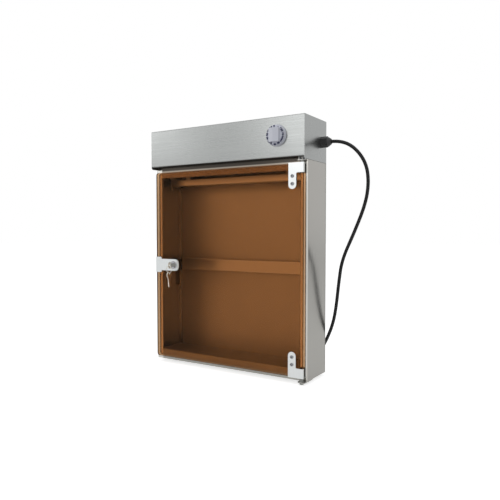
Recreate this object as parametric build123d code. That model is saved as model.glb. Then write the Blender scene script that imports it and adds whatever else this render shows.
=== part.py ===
from build123d import *
import math
import os

# Ultraviolet sterilizer cabinet for kitchen knives, in millimetres. It stands on four
# feet, or hangs on a wall by two holes in its back.
# X runs to the right, Y to the back and Z up. The origin is under the middle of the
# cabinet, on the surface that its feet stand on. In this file a "depth" is counted
# forwards from the back face, and a "height" upwards from the cabinet's lower edge.

# Cabinet shell, folded from stainless sheet
cabinet_width = 475
cabinet_height = 640
body_depth = 105
sheet = 1.2
bend = 1.0
front_flange = 20.5
flange_hem = 6
rear_return = 8
base_flange = 42
corner_gap = 0.3

# Header that holds the timer and the lamp's gear, and the seam under it
header_height = 105.4
header_overhang = 21
header_corner_radius = 6
seam_gap = 0.6
back_top_flange = 14
cover_screw_inset = 57

# Floor, bottom rail, top rail and shelf
floor_height = 24
floor_rear_flange = 14
bottom_rail_height = 28
bottom_rail_depth = 8
opening_drop = 23.6
shelf_rise = 6.8
shelf_rear_flange = 14

# Wall fixing
wall_hole_radius = 3.5
wall_hole_inset = 32.5
wall_hole_drop = 140

# Feet
foot_height = 9
foot_radius = 7
foot_inset = 33.5
rear_foot_depth = 14
front_foot_setback = 36
foot_stem_radius = 2.5
foot_bevel = 1.0
foot_barb = 1.0
foot_barb_length = 3.5

# Door
door_left_margin = 6.5
door_right_margin = 9
door_bottom = 9.5
door_top_margin = 8.6
door_gap = 4
door_thickness = 5
door_corner_radius = 7

# Door hinge: L-shaped plates that turn on two pivots
hinge_axis_inset = 3
hinge_axis_from_back = 3
plate = 1.8
fold_gap = 0.2
hinge_plate_width = 40.5
hinge_arm_width = 21
hinge_arm_length = 63
hinge_band = 24
hinge_tab_reach = 5
hinge_tab_corner = 4
hinge_inner_corner = 3
hinge_screw_first = 12.5
hinge_screw_pitch = 18.5
backing_plate = 1.5
backing_margin = 1.5
pivot_radius = 3.0
pivot_clearance = 0.05
pivot_gap = 0.3
pivot_end_gap = 0.1
pivot_collar = 1.5
pivot_head = 1.8
bracket_front = 6
bracket_corner = 4.8
upper_bracket_gap = 4
upper_bracket_plate = 2.0
upper_bracket_inner = 13.5
upper_bracket_outer = 7.5
upper_bracket_screw_pitch = 10
lower_bracket_plate = 2.5
lower_bracket_inner = 9.5
lower_bracket_outer = 10.5
lower_bracket_setback = 34
lower_bracket_screw_setbacks = (14, 28)
lower_bracket_screw_inset = 4.5
pivot_bolt_head = 3.6
pivot_bolt_flat = 5.0
pivot_nut_thickness = 3.0
pivot_washer_radius = 6.2
pivot_washer_thickness = 1.0

# Lock on the door's free side
lock_inset = 62.5
lock_above_middle = 1.25
lock_plate_wide = 43
lock_plate_arm = 19
lock_plate_corner = 3
lock_wrap = 1.0
lock_plate_tongue = 32
lock_tongue_end = 18
lock_case_inset = 35
lock_case_wall = 1.5
lock_barrel_radius = 9.4
lock_rim_radius = 11
lock_rim = 2.8
lock_rim_bevel = 1.0
lock_nut_margin = 3
lock_nut_thickness = 5
lock_plug_radius = 6.3
lock_plug_sink = 0.4
lock_running_gap = 0.05
lock_barrel_reach = 5
cam_thickness = 2
cam_gap = 0.5
cam_length = 56
cam_width = 16
cam_tip_width = 12.8
cam_tip_corner = 4.8
cam_crank_after = 2
cam_crank_slope = 1.2
cam_square = 7
cam_washer = 1.0
cam_washer_radius = 5.6
cam_screw_land = 1.0

# Keys and their ring
key_thickness = 2
key_bow_radius = 9
key_stand_off = 3
key_hole_radius = 2.75
key_hole_offset = 4.5
key_shoulder = 2
key_stem_margin = 1.5
key_blade_width = 7
key_blade_length = 24
key_cut_pitch = 3
key_cut_depth = 1.2
key_cut_levels = (1, 2, 0, 1, 0)
key_ring_radius = 9.3
key_ring_wire = 0.7
key_hang_gap = 0.3

# Timer and its knob
timer_inset = 74
timer_drop = 46
timer_body = 44
timer_depth = 28
timer_plate = 2
timer_plate_width = 40
timer_screw_span = 28
timer_screw_depth = 8
timer_tab_width = 6.3
timer_tab_length = 7.0
timer_tab_thick = 0.8
timer_tab_pitch = 8
shaft_radius = 3
shaft_flat = 1.8
shaft_hole_radius = 5
shaft_seat = 16.8
knob_gap = 0.5
knob_radius = 26.5
knob_face_radius = 24.5
knob_edge = 0.6
knob_skirt = 9
knob_wall = 1.8
knob_recess = 6
knob_hub_radius = 7
knob_bore_past_face = 4
knob_grip_width = 30
knob_grip_height = 33
knob_grip_ridge = 12
knob_grip_edge = 8
knob_grip_taper = 1.5

# Lamp, its holders and the shield that hangs in front of it
lamp_radius = 13
lamp_glass_wall = 0.8
lamp_end_room = 18.8
lamp_cap = 9
lamp_pin_radius = 1.18
lamp_pin_length = 7.1
lamp_pin_pitch = 12.7
lamp_depth = 42
lamp_drop = 18.9
holder_thickness = 12
holder_gap = 0.3
shield_overlap = 2.3
shield_before_lamp = 18
shield_behind_lamp = 8
shield_drop = 50.4
shield_lip = 17
shield_rear_lip = 8
shield_tab_width = 5
shield_tab_drop = 10
hanger_plate = 1.5
hanger_width = 14
hanger_past_choke_screw = 19
hanger_foot = 14

# Magnetic rack on the back wall
rack_end_gap = 22.5
rack_height = 34
rack_middle = 266.5
rack_depth = 20
rack_spacer = 4.6
rack_spacer_radius = 7
rack_strip = 3
rack_strip_gap = 0.25
rack_edge_gap = 1.0
rack_magnet_count = 6
rack_magnet_space = 13.3
rack_magnet_depth = 9

# Lamp gear on the shelf
ballast_length = 150
ballast_width = 42
ballast_height = 30
ballast_core_inset = 15
winding_inset = 6
winding_drop = 4.5
ballast_x = -60
ballast_foot = 12
ballast_foot_width = 25
ballast_depth = 62
starter_radius = 10.7
starter_length = 40
starter_seat = 4
starter_edge = 2
starter_x = 70
starter_depth = 50
starter_base_length = 28
starter_base_width = 24
starter_base_height = 12
terminal_length = 36
terminal_width = 17
terminal_height = 14
terminal_screw_radius = 2.4
terminal_screw_depth = 5
terminal_inset = 45.5
terminal_depth = 55

# Wiring on the shelf
wire_radius = 1.3
wire_bend = 4
wire_step = 13
wire_hole_radius = 2.6
wire_spread = 3.5
grommet_flange = 0.8
grommet_gap = 0.1

# Cable gland on the right side of the header
gland_depth = 27
gland_drop = 55
gland_thread_radius = 10
gland_flats = 24
gland_flange = 5
gland_brim = 1
gland_nut_length = 20.5
gland_nut_taper = 8
gland_mouth = 0.6
gland_lip = 1.5
gland_locknut = 5
gland_locknut_wall = 3
gland_inside = 10

# Power cord and plug
cord_radius = 4.25
cord_lift = 1.3
coil_middle_x = 100
coil_middle_behind = 80
coil_layer = 9.1
coil_pitch = 10.8
coil_entry_radius = 53
coil_half_turns_in = 2
coil_half_turns_out = 3
tie_thickness = 1.0
tie_width = 8
tie_gap = 0.3
tie_corner = 4
plug_radius = 18.5
plug_face = 14
plug_grip = 26
plug_grip_radius = 13
plug_relief = 32
plug_relief_radius = 5.6
plug_taper = 2
plug_shoulder = 10.4
plug_edge = 1
plug_pin_radius = 2.4
plug_pin_length = 19
plug_pin_pitch = 19
plug_pin_round = 1.2

# Fasteners
m3_radius = 1.5
m4_radius = 2.0
m5_radius = 2.5
hole_clearance = 0.2
nut_clearance = 0.05
screw_head_ratio = 1.75
screw_head_height = 1.2
screw_crown = 0.7
screw_rim = 0.45
m4_nut_flat = 3.5
m4_nut_height = 3.2
m5_nut_flat = 4.0
m5_nut_height = 4.0
m3_length = 6
m4_short_length = 5
m4_long_length = 8.8

# Route of the cord's free stretch: x, distance behind the back face, height over the floor
cord_route = [
    (263, -27, 594), (288, -27, 594), (323.6, -25.5, 575), (350.7, -21.5, 536.3),
    (355.5, -15.5, 490.5), (345.2, -8, 439.4), (313.6, 0.3, 369.5), (279.7, 5.5, 300),
    (270.5, 8.5, 245), (261.8, 12.3, 176.1), (252.2, 15, 133.3), (234.5, 19, 92),
    (212, 23, 54), (186, 26, 26), (160, 27, 9.5), (134, 27, 5.55), (108.5, 27, 5.55),
]
tail_route = [(91.5, 21.6, 14.65), (71, 21.6, 14.65), (50, 21.6, 18.5), (30, 21.6, 18.5)]

# Shell values that follow from those above
half_width = cabinet_width / 2
inside_half = half_width - sheet
opening_half = half_width - front_flange
hem_back = body_depth - flange_hem
cover_top = cabinet_height - sheet
seam_height = cabinet_height - header_height
header_depth = body_depth + header_overhang
opening_top = seam_height - opening_drop
shelf_height = seam_height + shelf_rise
shelf_top = shelf_height + sheet
base_z = foot_height
foot_x = half_width - foot_inset
front_foot_depth = body_depth - front_foot_setback

# Door, hinge and lock values that follow
door_left = door_left_margin - half_width
door_right = half_width - door_right_margin
door_top = seam_height - door_top_margin
door_back = body_depth + door_gap
door_front = door_back + door_thickness
hinge_axis_x = door_right - hinge_axis_inset
hinge_axis_depth = door_back + hinge_axis_from_back
hinge_plate_right = door_right + fold_gap + plate
hinge_plate_left = hinge_plate_right - hinge_plate_width
hinge_screw_x = hinge_plate_left + hinge_arm_width / 2
upper_tab_top = door_top + fold_gap + plate
lower_tab_low = door_bottom - fold_gap - plate
upper_bracket_height = upper_tab_top + upper_bracket_gap
upper_bracket_top = upper_bracket_height + upper_bracket_plate
upper_bracket_left = hinge_axis_x - upper_bracket_inner
upper_bracket_right = hinge_axis_x + upper_bracket_outer
upper_bracket_screw_height = (upper_bracket_top + shelf_height) / 2
lower_bracket_left = hinge_axis_x - lower_bracket_inner
lower_bracket_right = hinge_axis_x + lower_bracket_outer
lower_bracket_screw_x = lower_bracket_right - lower_bracket_screw_inset
lock_x = door_left + lock_inset
lock_height = (door_bottom + door_top) / 2 + lock_above_middle
rim_front = door_front + plate + lock_rim
lock_case_back = hem_back
barrel_back = lock_case_back - lock_barrel_reach
cam_tip_front = hem_back - cam_gap
cam_front = barrel_back - cam_gap
cam_back = cam_front - cam_thickness
bow_depth = rim_front + key_bow_radius + key_stand_off
key_ring_middle = lock_height - key_hole_radius + key_hang_gap + key_ring_wire - key_ring_radius

# Timer, lamp, rack and gland values that follow
timer_x = half_width - timer_inset
timer_height = cabinet_height - timer_drop
knob_back = header_depth + knob_gap
knob_face = knob_back + knob_skirt
knob_front = knob_face + knob_grip_ridge
wall_y = knob_front / 2
lamp_length = cabinet_width - 2 * lamp_end_room
lamp_height = shelf_height - lamp_drop
shield_length = lamp_length + 2 * shield_overlap
shield_front = lamp_depth + shield_before_lamp
shield_back = lamp_depth - shield_behind_lamp
shield_bottom = shelf_height - shield_drop
hanger_screw_depth = shield_front - sheet + hanger_foot / 2
rack_length = 2 * (inside_half - rack_end_gap)
rack_pitch = rack_length / rack_magnet_count
rack_magnet_width = rack_pitch - rack_magnet_space
terminal_x = half_width - terminal_inset
gland_height = cabinet_height - gland_drop
cord_area = math.pi * cord_radius ** 2

# Rounding and measuring helpers
fold_round = 0.6
tongue_round = 0.8
near = 0.01
gap_sample = 3
arc_share = 0.45

# Places of what repeats
cover_screw_places = (cover_screw_inset - half_width, 0, half_width - cover_screw_inset)
cover_screw_depth = back_top_flange / 2 + sheet
upper_bracket_middle = (upper_bracket_left + upper_bracket_right) / 2
upper_bracket_screw_places = (upper_bracket_middle - upper_bracket_screw_pitch / 2,
                              upper_bracket_middle + upper_bracket_screw_pitch / 2)
lower_bracket_screw_depths = [body_depth - back for back in lower_bracket_screw_setbacks]
timer_screw_places = (timer_x - timer_screw_span / 2, timer_x + timer_screw_span / 2)
rack_screw_places = [(step - rack_magnet_count / 2) * rack_pitch
                     for step in (1, rack_magnet_count // 2, rack_magnet_count - 1)]
ballast_reach = ballast_length / 2 + ballast_foot / 2
ballast_screw_places = (ballast_x - ballast_reach, ballast_x + ballast_reach)
hanger_x = ballast_reach - ballast_x + hanger_past_choke_screw
holder_middle = lamp_length / 2 + holder_gap + holder_thickness / 2
wire_hole_places = [(side * holder_middle, lamp_depth + step * wire_spread)
                    for side in (-1, 1) for step in (-1, 1)]
parts = {}
small_screws = []
short_screws = []
long_screws = []


def save(name, shape):
    """Keep a finished sub-part under its name."""
    shape.label = name
    parts[name] = shape


def place(x, depth, height):
    """Point at x, a depth in front of the back face and a height over the lower edge."""
    return Pos(x, wall_y - depth, base_z + height)


def block(x, depth, height):
    """Box between two values each of x, depth and height."""
    middle = place(sum(x) / 2, sum(depth) / 2, sum(height) / 2)
    return middle * Box(x[1] - x[0], depth[1] - depth[0], height[1] - height[0])


def rod_across(depth, height, radius, x):
    """Round rod from x to x along the X axis."""
    return place(sum(x) / 2, depth, height) * Rot(0, 90, 0) * Cylinder(radius, x[1] - x[0])


def rod_forward(x, height, radius, depth):
    """Round rod between two depths, along the Y axis."""
    middle = place(x, sum(depth) / 2, height)
    return middle * Rot(90, 0, 0) * Cylinder(radius, depth[1] - depth[0])


def rod_upright(x, depth, radius, height):
    """Round rod between two heights."""
    return place(x, depth, sum(height) / 2) * Cylinder(radius, height[1] - height[0])


def bent_face(path, gauge):
    """Section of a sheet folded along a path: the sheet lies on the path's left side."""
    points = [Vector(*point) for point in path]
    runs = [(b - a).normalized() for a, b in zip(points, points[1:])]
    lefts = [Vector(-run.Y, run.X) for run in runs]
    far = [points[0] + lefts[0] * gauge]
    near_radii = []
    far_radii = []
    for corner, before, after in zip(points[1:-1], lefts, lefts[1:]):
        far.append(corner + (before + after) * (gauge / (1 + before.dot(after))))
        turns_left = before.cross(after).Z > 0
        near_radii.append(bend + gauge if turns_left else bend)
        far_radii.append(bend if turns_left else bend + gauge)
    far.append(points[-1] + lefts[-1] * gauge)
    near_side = FilletPolyline(*points, radius=near_radii)
    far_side = FilletPolyline(*far, radius=far_radii)
    ends = [Line(points[0], far[0]), Line(points[-1], far[-1])]
    return make_face(near_side.edges() + far_side.edges() + ends[0].edges() + ends[1].edges())


def folded_across(path, x, gauge=sheet):
    """Sheet folded in side view, given as depths and heights, that runs from x to x."""
    points = [(wall_y - depth, base_z + height) for depth, height in path]
    section = Plane.YZ.offset(x[0]) * bent_face(points, gauge)
    return extrude(section, amount=x[1] - x[0], dir=(1, 0, 0))


def folded_upright(path, height, gauge=sheet):
    """Sheet folded in plan view, given as x and depths, that stands from height to height."""
    points = [(x, wall_y - depth) for x, depth in path]
    section = Pos(0, 0, base_z + height[0]) * bent_face(points, gauge)
    return extrude(section, amount=height[1] - height[0], dir=(0, 0, 1))


def plate_in_front(outline, depth):
    """Flat plate between two depths from an outline drawn in x and height."""
    plane = Plane((0, wall_y - depth[0], base_z), x_dir=(1, 0, 0), z_dir=(0, -1, 0))
    return extrude(plane * outline, amount=depth[1] - depth[0])


def pan_screw(shank, length):
    """Screw with its head above the origin and its shank below, turned from one profile."""
    head = shank * screw_head_ratio
    top = shank * screw_head_height
    profile = Polyline((0, top), (head * screw_crown, top), (head, top * screw_rim), (head, 0),
                       (shank, 0), (shank, -length), (0, -length), close=True)
    return revolve(Plane.XZ * make_face(profile), Axis.Z)


def hex_nut(bore, flat_radius, thick):
    """Hexagon nut that stands on the origin."""
    outline = RegularPolygon(flat_radius, 6, major_radius=False) - Circle(bore)
    return extrude(outline, amount=thick)


def group(shapes):
    """Separate solids of one kind that share a node."""
    solids = [solid for shape in shapes for solid in shape.solids()]
    return Compound(children=solids)


def mirrored(shape):
    """The same shape on the other side of the cabinet's middle plane."""
    return mirror(shape, about=Plane.YZ)


def tube_along(points):
    """Round cord through a route of straight runs, with each corner as wide as its runs allow."""
    route = [Vector(*point) for point in points]
    radii = []
    for before, corner, after in zip(route, route[1:], route[2:]):
        arriving = corner - before
        leaving = after - corner
        turn = math.radians(arriving.get_angle(leaving))
        shorter = min(arriving.length, leaving.length)
        radii.append(arc_share * shorter / math.tan(turn / 2))
    path = FilletPolyline(*route, radius=radii)
    start = Plane(route[0], z_dir=route[1] - route[0])
    tube = sweep(start * Circle(cord_radius), path=path)
    print("cord radii", [round(radius) for radius in radii], "length", round(path.length, 1),
          "volume over section times length", round(tube.volume / (path.length * cord_area), 4))
    return tube


def make_back():
    """Back panel with its wall holes and the flange that the header is screwed to."""
    panel = folded_across([(0, 0), (0, cover_top), (back_top_flange, cover_top)],
                          (-half_width, half_width))
    for side in (-1, 1):
        corner = sorted((side * inside_half, side * cabinet_width))
        panel -= block(corner, (sheet, 2 * back_top_flange), (seam_height, cabinet_height))
        panel -= rod_forward(side * (half_width - wall_hole_inset),
                             cabinet_height - wall_hole_drop, wall_hole_radius,
                             (-sheet, 2 * sheet))
    for x in rack_screw_places:
        panel -= rod_forward(x, rack_middle, m4_radius + hole_clearance, (-sheet, 2 * sheet))
    for x in cover_screw_places:
        panel -= rod_upright(x, cover_screw_depth, m4_radius + hole_clearance,
                             (cover_top - 2 * sheet, cabinet_height))
    save("back_panel", panel)


def make_sides():
    """Side panels: front flange with its hem, side wall, rear return and base flange."""
    path = [(opening_half, hem_back), (opening_half, body_depth), (half_width, body_depth),
            (half_width, sheet), (half_width - rear_return, sheet)]
    right = folded_upright(path, (0, seam_height))
    right += block((half_width - base_flange, inside_half + sheet / 2),
                   (rear_return, hem_back - 2 * sheet), (0, sheet))
    for depth in (rear_foot_depth, front_foot_depth):
        right -= rod_upright(foot_x, depth, foot_stem_radius + hole_clearance / 2,
                             (-sheet, 2 * sheet))
    left = mirrored(right)
    for depth in lower_bracket_screw_depths:
        right -= rod_upright(lower_bracket_screw_x, depth, m4_radius + hole_clearance,
                             (-sheet, 2 * sheet))
    save("right_side_panel", right)
    save("left_side_panel", left)


def make_floor():
    """Raised floor and bottom rail, folded from one sheet."""
    rail_back = body_depth - bottom_rail_depth
    path = [(sheet, floor_height - floor_rear_flange), (sheet, floor_height),
            (rail_back, floor_height), (rail_back, bottom_rail_height),
            (body_depth, bottom_rail_height), (body_depth, 0)]
    panel = folded_across(path, (-inside_half, inside_half))
    for side in (-1, 1):
        front = sorted((side * opening_half, side * cabinet_width))
        rear = sorted((side * (half_width - rear_return), side * cabinet_width))
        panel -= block(front, (rail_back - 2 * sheet, header_depth), (-sheet, 2 * floor_height))
        panel -= block(rear, (0, 2 * sheet + bend + corner_gap), (-sheet, 2 * floor_height))
    save("floor_panel", panel)


def make_shelf():
    """Top rail of the door opening and the shelf over the lamp, folded from one sheet."""
    path = [(2 * sheet, shelf_top + shelf_rear_flange), (2 * sheet, shelf_top),
            (body_depth, shelf_top), (body_depth, opening_top), (hem_back, opening_top)]
    panel = folded_across(path, (-inside_half, inside_half))
    for side in (-1, 1):
        beside = sorted((side * opening_half, side * cabinet_width))
        panel -= block(beside, (hem_back - 2 * bend, header_depth),
                       (opening_top - sheet, seam_height + seam_gap))
    for x in upper_bracket_screw_places:
        panel -= rod_forward(x, upper_bracket_screw_height, m3_radius + hole_clearance,
                             (hem_back, header_depth))
    holes = [(x, hanger_screw_depth, m3_radius + hole_clearance) for x in (-hanger_x, hanger_x)]
    holes += [(x, ballast_depth, m4_radius + hole_clearance) for x in ballast_screw_places]
    holes += [(x, depth, wire_hole_radius) for x, depth in wire_hole_places]
    for x, depth, radius in holes:
        panel -= rod_upright(x, depth, radius, (shelf_height - sheet, shelf_top + sheet))
    save("top_rail_and_shelf", panel)


def make_header_cover():
    """Box-shaped header: folded front, top and lip between two side cheeks."""
    path = [(0, cabinet_height), (header_depth, cabinet_height), (header_depth, shelf_height),
            (body_depth + corner_gap, shelf_height)]
    cover = folded_across(path, (-inside_half, inside_half))
    skirt = seam_height + seam_gap
    cheek = Polyline((wall_y - sheet, base_z + skirt), (wall_y - header_depth, base_z + skirt),
                     (wall_y - header_depth, base_z + cabinet_height),
                     (wall_y, base_z + cabinet_height), (wall_y, base_z + cover_top),
                     (wall_y - sheet, base_z + cover_top), close=True)
    outline = make_face(cheek)
    front_low = outline.vertices().group_by(Axis.X)[0].sort_by(Axis.Y)[0]
    outline = fillet(front_low, header_corner_radius)
    front_high = outline.vertices().group_by(Axis.X)[0].sort_by(Axis.Y)[-1]
    outline = fillet(front_high, bend + sheet)
    right = extrude(Plane.YZ.offset(inside_half) * outline, amount=sheet, dir=(1, 0, 0))
    cover += [right, mirrored(right)]
    cover -= rod_across(gland_depth, gland_height, gland_thread_radius + hole_clearance,
                        (inside_half - sheet, half_width + sheet))
    through_front = (header_depth - 2 * sheet, header_depth + sheet)
    cover -= rod_forward(timer_x, timer_height, shaft_hole_radius, through_front)
    for x in timer_screw_places:
        cover -= rod_forward(x, timer_height, m3_radius + hole_clearance, through_front)
    for x in cover_screw_places:
        cover -= rod_upright(x, cover_screw_depth, m4_radius + hole_clearance,
                             (cover_top - sheet, cabinet_height + sheet))
        short_screws.append(place(x, cover_screw_depth, cabinet_height)
                            * pan_screw(m4_radius, m4_short_length))
    save("header_cover", cover)


def make_feet():
    """Push-in rubber feet under the base flanges."""
    seat = foot_height + sheet
    tip = seat + foot_barb_length
    barb = foot_stem_radius + foot_barb
    profile = Polyline((0, 0), (foot_radius - foot_bevel, 0), (foot_radius, foot_height),
                       (foot_stem_radius, foot_height), (foot_stem_radius, seat),
                       (barb, seat + foot_barb), (foot_stem_radius - foot_barb / 2, tip),
                       (0, tip), close=True)
    foot = revolve(Plane.XZ * make_face(profile), Axis.Z)
    feet = [Pos(x, wall_y - depth, 0) * foot for x in (-foot_x, foot_x)
            for depth in (rear_foot_depth, front_foot_depth)]
    save("rubber_feet", group(feet))


def make_upper_pivot():
    """Fixed upper half of the hinge: bracket under the shelf's lip, pin and screws."""
    front = hinge_axis_depth + bracket_front
    path = [(front, upper_bracket_height), (body_depth, upper_bracket_height),
            (body_depth, shelf_height - corner_gap)]
    bracket = folded_across(path, (upper_bracket_left, upper_bracket_right),
                            upper_bracket_plate)
    front_edges = bracket.edges().filter_by(Axis.Z).group_by(Axis.Y)[0]
    bracket = fillet(front_edges, bracket_corner)
    bracket -= rod_upright(hinge_axis_x, hinge_axis_depth, pivot_radius + pivot_clearance,
                           (upper_bracket_height - sheet, upper_bracket_top + sheet))
    for x in upper_bracket_screw_places:
        bracket -= rod_forward(x, upper_bracket_screw_height, m3_radius + hole_clearance,
                               (body_depth - sheet, body_depth + 2 * upper_bracket_plate))
        small_screws.append(place(x, body_depth + upper_bracket_plate, upper_bracket_screw_height)
                            * Rot(90, 0, 0) * pan_screw(m3_radius, m3_length))
    save("upper_hinge_bracket", bracket)

    collar = pivot_radius + pivot_collar
    foot = door_top + fold_gap + pivot_end_gap
    seat = upper_tab_top + pivot_gap
    head = upper_bracket_top + pivot_head
    profile = Polyline((0, foot), (pivot_radius, foot), (pivot_radius, seat), (collar, seat),
                       (collar, upper_bracket_height), (pivot_radius, upper_bracket_height),
                       (pivot_radius, upper_bracket_top), (collar, upper_bracket_top),
                       (pivot_radius, head), (0, head), close=True)
    pin = revolve(Plane.XZ * make_face(profile), Axis.Z)
    save("upper_pivot_pin", place(hinge_axis_x, hinge_axis_depth, 0) * pin)


def make_lower_pivot():
    """Fixed lower half of the hinge: bracket, hexagon bolt, nut, flanged bush and screws."""
    front = hinge_axis_depth + bracket_front
    back = body_depth - lower_bracket_setback
    outline = Polyline((lower_bracket_left, wall_y - back), (lower_bracket_right, wall_y - back),
                       (lower_bracket_right, wall_y - front),
                       (lower_bracket_left, wall_y - front), close=True)
    face = make_face(outline)
    face = fillet(face.vertices().group_by(Axis.Y)[0], bracket_corner)
    face = fillet(face.vertices().group_by(Axis.Y)[-1], bend)
    bracket = extrude(Pos(0, 0, base_z - lower_bracket_plate) * face,
                      amount=lower_bracket_plate, dir=(0, 0, 1))
    through = (-2 * lower_bracket_plate, lower_bracket_plate)
    bracket -= rod_upright(hinge_axis_x, hinge_axis_depth, pivot_radius + pivot_clearance, through)
    nut = hex_nut(m4_radius + nut_clearance, m4_nut_flat, m4_nut_height)
    nuts = []
    for depth in lower_bracket_screw_depths:
        bracket -= rod_upright(lower_bracket_screw_x, depth, m4_radius + hole_clearance, through)
        long_screws.append(place(lower_bracket_screw_x, depth, -lower_bracket_plate)
                           * Rot(180, 0, 0) * pan_screw(m4_radius, m4_long_length))
        nuts.append(place(lower_bracket_screw_x, depth, sheet) * nut)
    save("lower_hinge_bracket", bracket)
    save("lower_bracket_nuts", group(nuts))

    axis = place(hinge_axis_x, hinge_axis_depth, 0)
    tip = lower_tab_low + plate - pivot_end_gap
    bolt = Pos(0, 0, -lower_bracket_plate) * extrude(Circle(pivot_radius),
                                                     amount=tip + lower_bracket_plate)
    bolt += Pos(0, 0, -lower_bracket_plate - pivot_bolt_head) * extrude(
        RegularPolygon(pivot_bolt_flat, 6, major_radius=False), amount=pivot_bolt_head)
    save("lower_pivot_bolt", axis * bolt)
    save("lower_pivot_nut", axis * hex_nut(pivot_radius + pivot_clearance, pivot_bolt_flat,
                                           pivot_nut_thickness))
    bore = pivot_radius + pivot_clearance
    top = lower_tab_low - pivot_gap
    profile = Polyline((bore, pivot_nut_thickness), (bore + pivot_collar, pivot_nut_thickness),
                       (bore + pivot_collar, top - pivot_washer_thickness),
                       (pivot_washer_radius, top - pivot_washer_thickness),
                       (pivot_washer_radius, top), (bore, top), close=True)
    save("lower_pivot_washer", axis * revolve(Plane.XZ * make_face(profile), Axis.Z))


def hinge_screw_heights(upper):
    """Heights of the two screws in a hinge plate's arm."""
    if upper:
        tip = upper_tab_top - hinge_arm_length
        return (tip + hinge_screw_first, tip + hinge_screw_first + hinge_screw_pitch)
    tip = lower_tab_low + hinge_arm_length
    return (tip - hinge_screw_first, tip - hinge_screw_first - hinge_screw_pitch)


def make_hinge_plate(name, upper):
    """L-shaped plate folded round the door's edge, with the pivot hole in its end tab."""
    edge = upper_tab_top if upper else lower_tab_low
    inward = -1 if upper else 1
    tip = edge + inward * hinge_arm_length
    band = edge + inward * hinge_band
    arm_right = hinge_plate_left + hinge_arm_width
    outline = Polyline((hinge_plate_left, edge), (hinge_plate_right, edge),
                       (hinge_plate_right, band), (arm_right, band), (arm_right, tip),
                       (hinge_plate_left, tip), close=True)
    face = make_face(outline)
    tips = [v for v in face.vertices() if abs(v.Y - tip) < near]
    face = fillet(tips, hinge_arm_width / 2 - fold_gap)
    inner = [v for v in face.vertices() if abs(v.X - arm_right) < near and abs(v.Y - band) < near]
    face = fillet(inner, hinge_inner_corner)
    shape = plate_in_front(face, (door_front, door_front + plate))
    shape += block((hinge_plate_right - plate, hinge_plate_right),
                   (door_back, door_front + plate / 2), sorted((edge, band)))
    tab = block((hinge_plate_left, hinge_plate_right),
                (hinge_axis_depth - hinge_tab_reach, door_front + plate / 2),
                sorted((edge, edge + inward * plate)))
    corner = tab.edges().filter_by(Axis.Z).group_by(Axis.Y)[-1].sort_by(Axis.X)
    shape += fillet(corner[-1], hinge_tab_corner)
    shape -= rod_upright(hinge_axis_x, hinge_axis_depth, pivot_radius + pivot_clearance,
                         (edge - 2 * plate, edge + 2 * plate))
    front_edges = shape.edges().filter_by(Axis.Z).group_by(Axis.Y)[0].sort_by(Axis.X)
    shape = fillet(front_edges[-1], fold_round * plate)
    for height in hinge_screw_heights(upper):
        shape -= rod_forward(hinge_screw_x, height, m5_radius + hole_clearance,
                             (door_front - plate, door_front + 2 * plate))
    save(name, shape)


def make_door():
    """Amber door sheet with its hinge plates, backing plates, screws and nuts."""
    outline = Pos((door_left + door_right) / 2, (door_top + door_bottom) / 2) * RectangleRounded(
        door_right - door_left, door_top - door_bottom, door_corner_radius)
    door = plate_in_front(outline, (door_back, door_front))
    door -= rod_forward(lock_x, lock_height, lock_barrel_radius + hole_clearance,
                        (door_back - plate, door_front + plate))
    screws = []
    nuts = []
    backings = []
    length = door_thickness + plate + backing_plate + m5_nut_height
    screw = Rot(90, 0, 0) * pan_screw(m5_radius, length)
    nut = Rot(-90, 0, 0) * hex_nut(m5_radius + nut_clearance, m5_nut_flat, m5_nut_height)
    backing_width = hinge_arm_width - 2 * backing_margin
    for upper in (True, False):
        heights = hinge_screw_heights(upper)
        pad = Pos(hinge_screw_x, sum(heights) / 2) * SlotOverall(
            hinge_screw_pitch + backing_width, backing_width, rotation=90)
        backing = plate_in_front(pad, (door_back - backing_plate, door_back))
        for height in heights:
            hole = rod_forward(hinge_screw_x, height, m5_radius + hole_clearance,
                               (door_back - 2 * backing_plate, door_front + plate))
            door -= hole
            backing -= hole
            screws.append(place(hinge_screw_x, door_front + plate, height) * screw)
            nuts.append(place(hinge_screw_x, door_back - backing_plate, height) * nut)
        backings.append(backing)
    save("door_panel", door)
    make_hinge_plate("upper_hinge_plate", True)
    make_hinge_plate("lower_hinge_plate", False)
    save("hinge_backing_plates", group(backings))
    save("hinge_plate_screws", group(screws))
    save("hinge_plate_nuts", group(nuts))


def tongue_face(start, end, half):
    """Face round the lock from start to end in x, with its two right corners rounded."""
    outline = Polyline((start, lock_height - half), (end, lock_height - half),
                       (end, lock_height + half), (start, lock_height + half), close=True)
    face = make_face(outline)
    return fillet(face.vertices().group_by(Axis.X)[-1], tongue_round * half)


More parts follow.
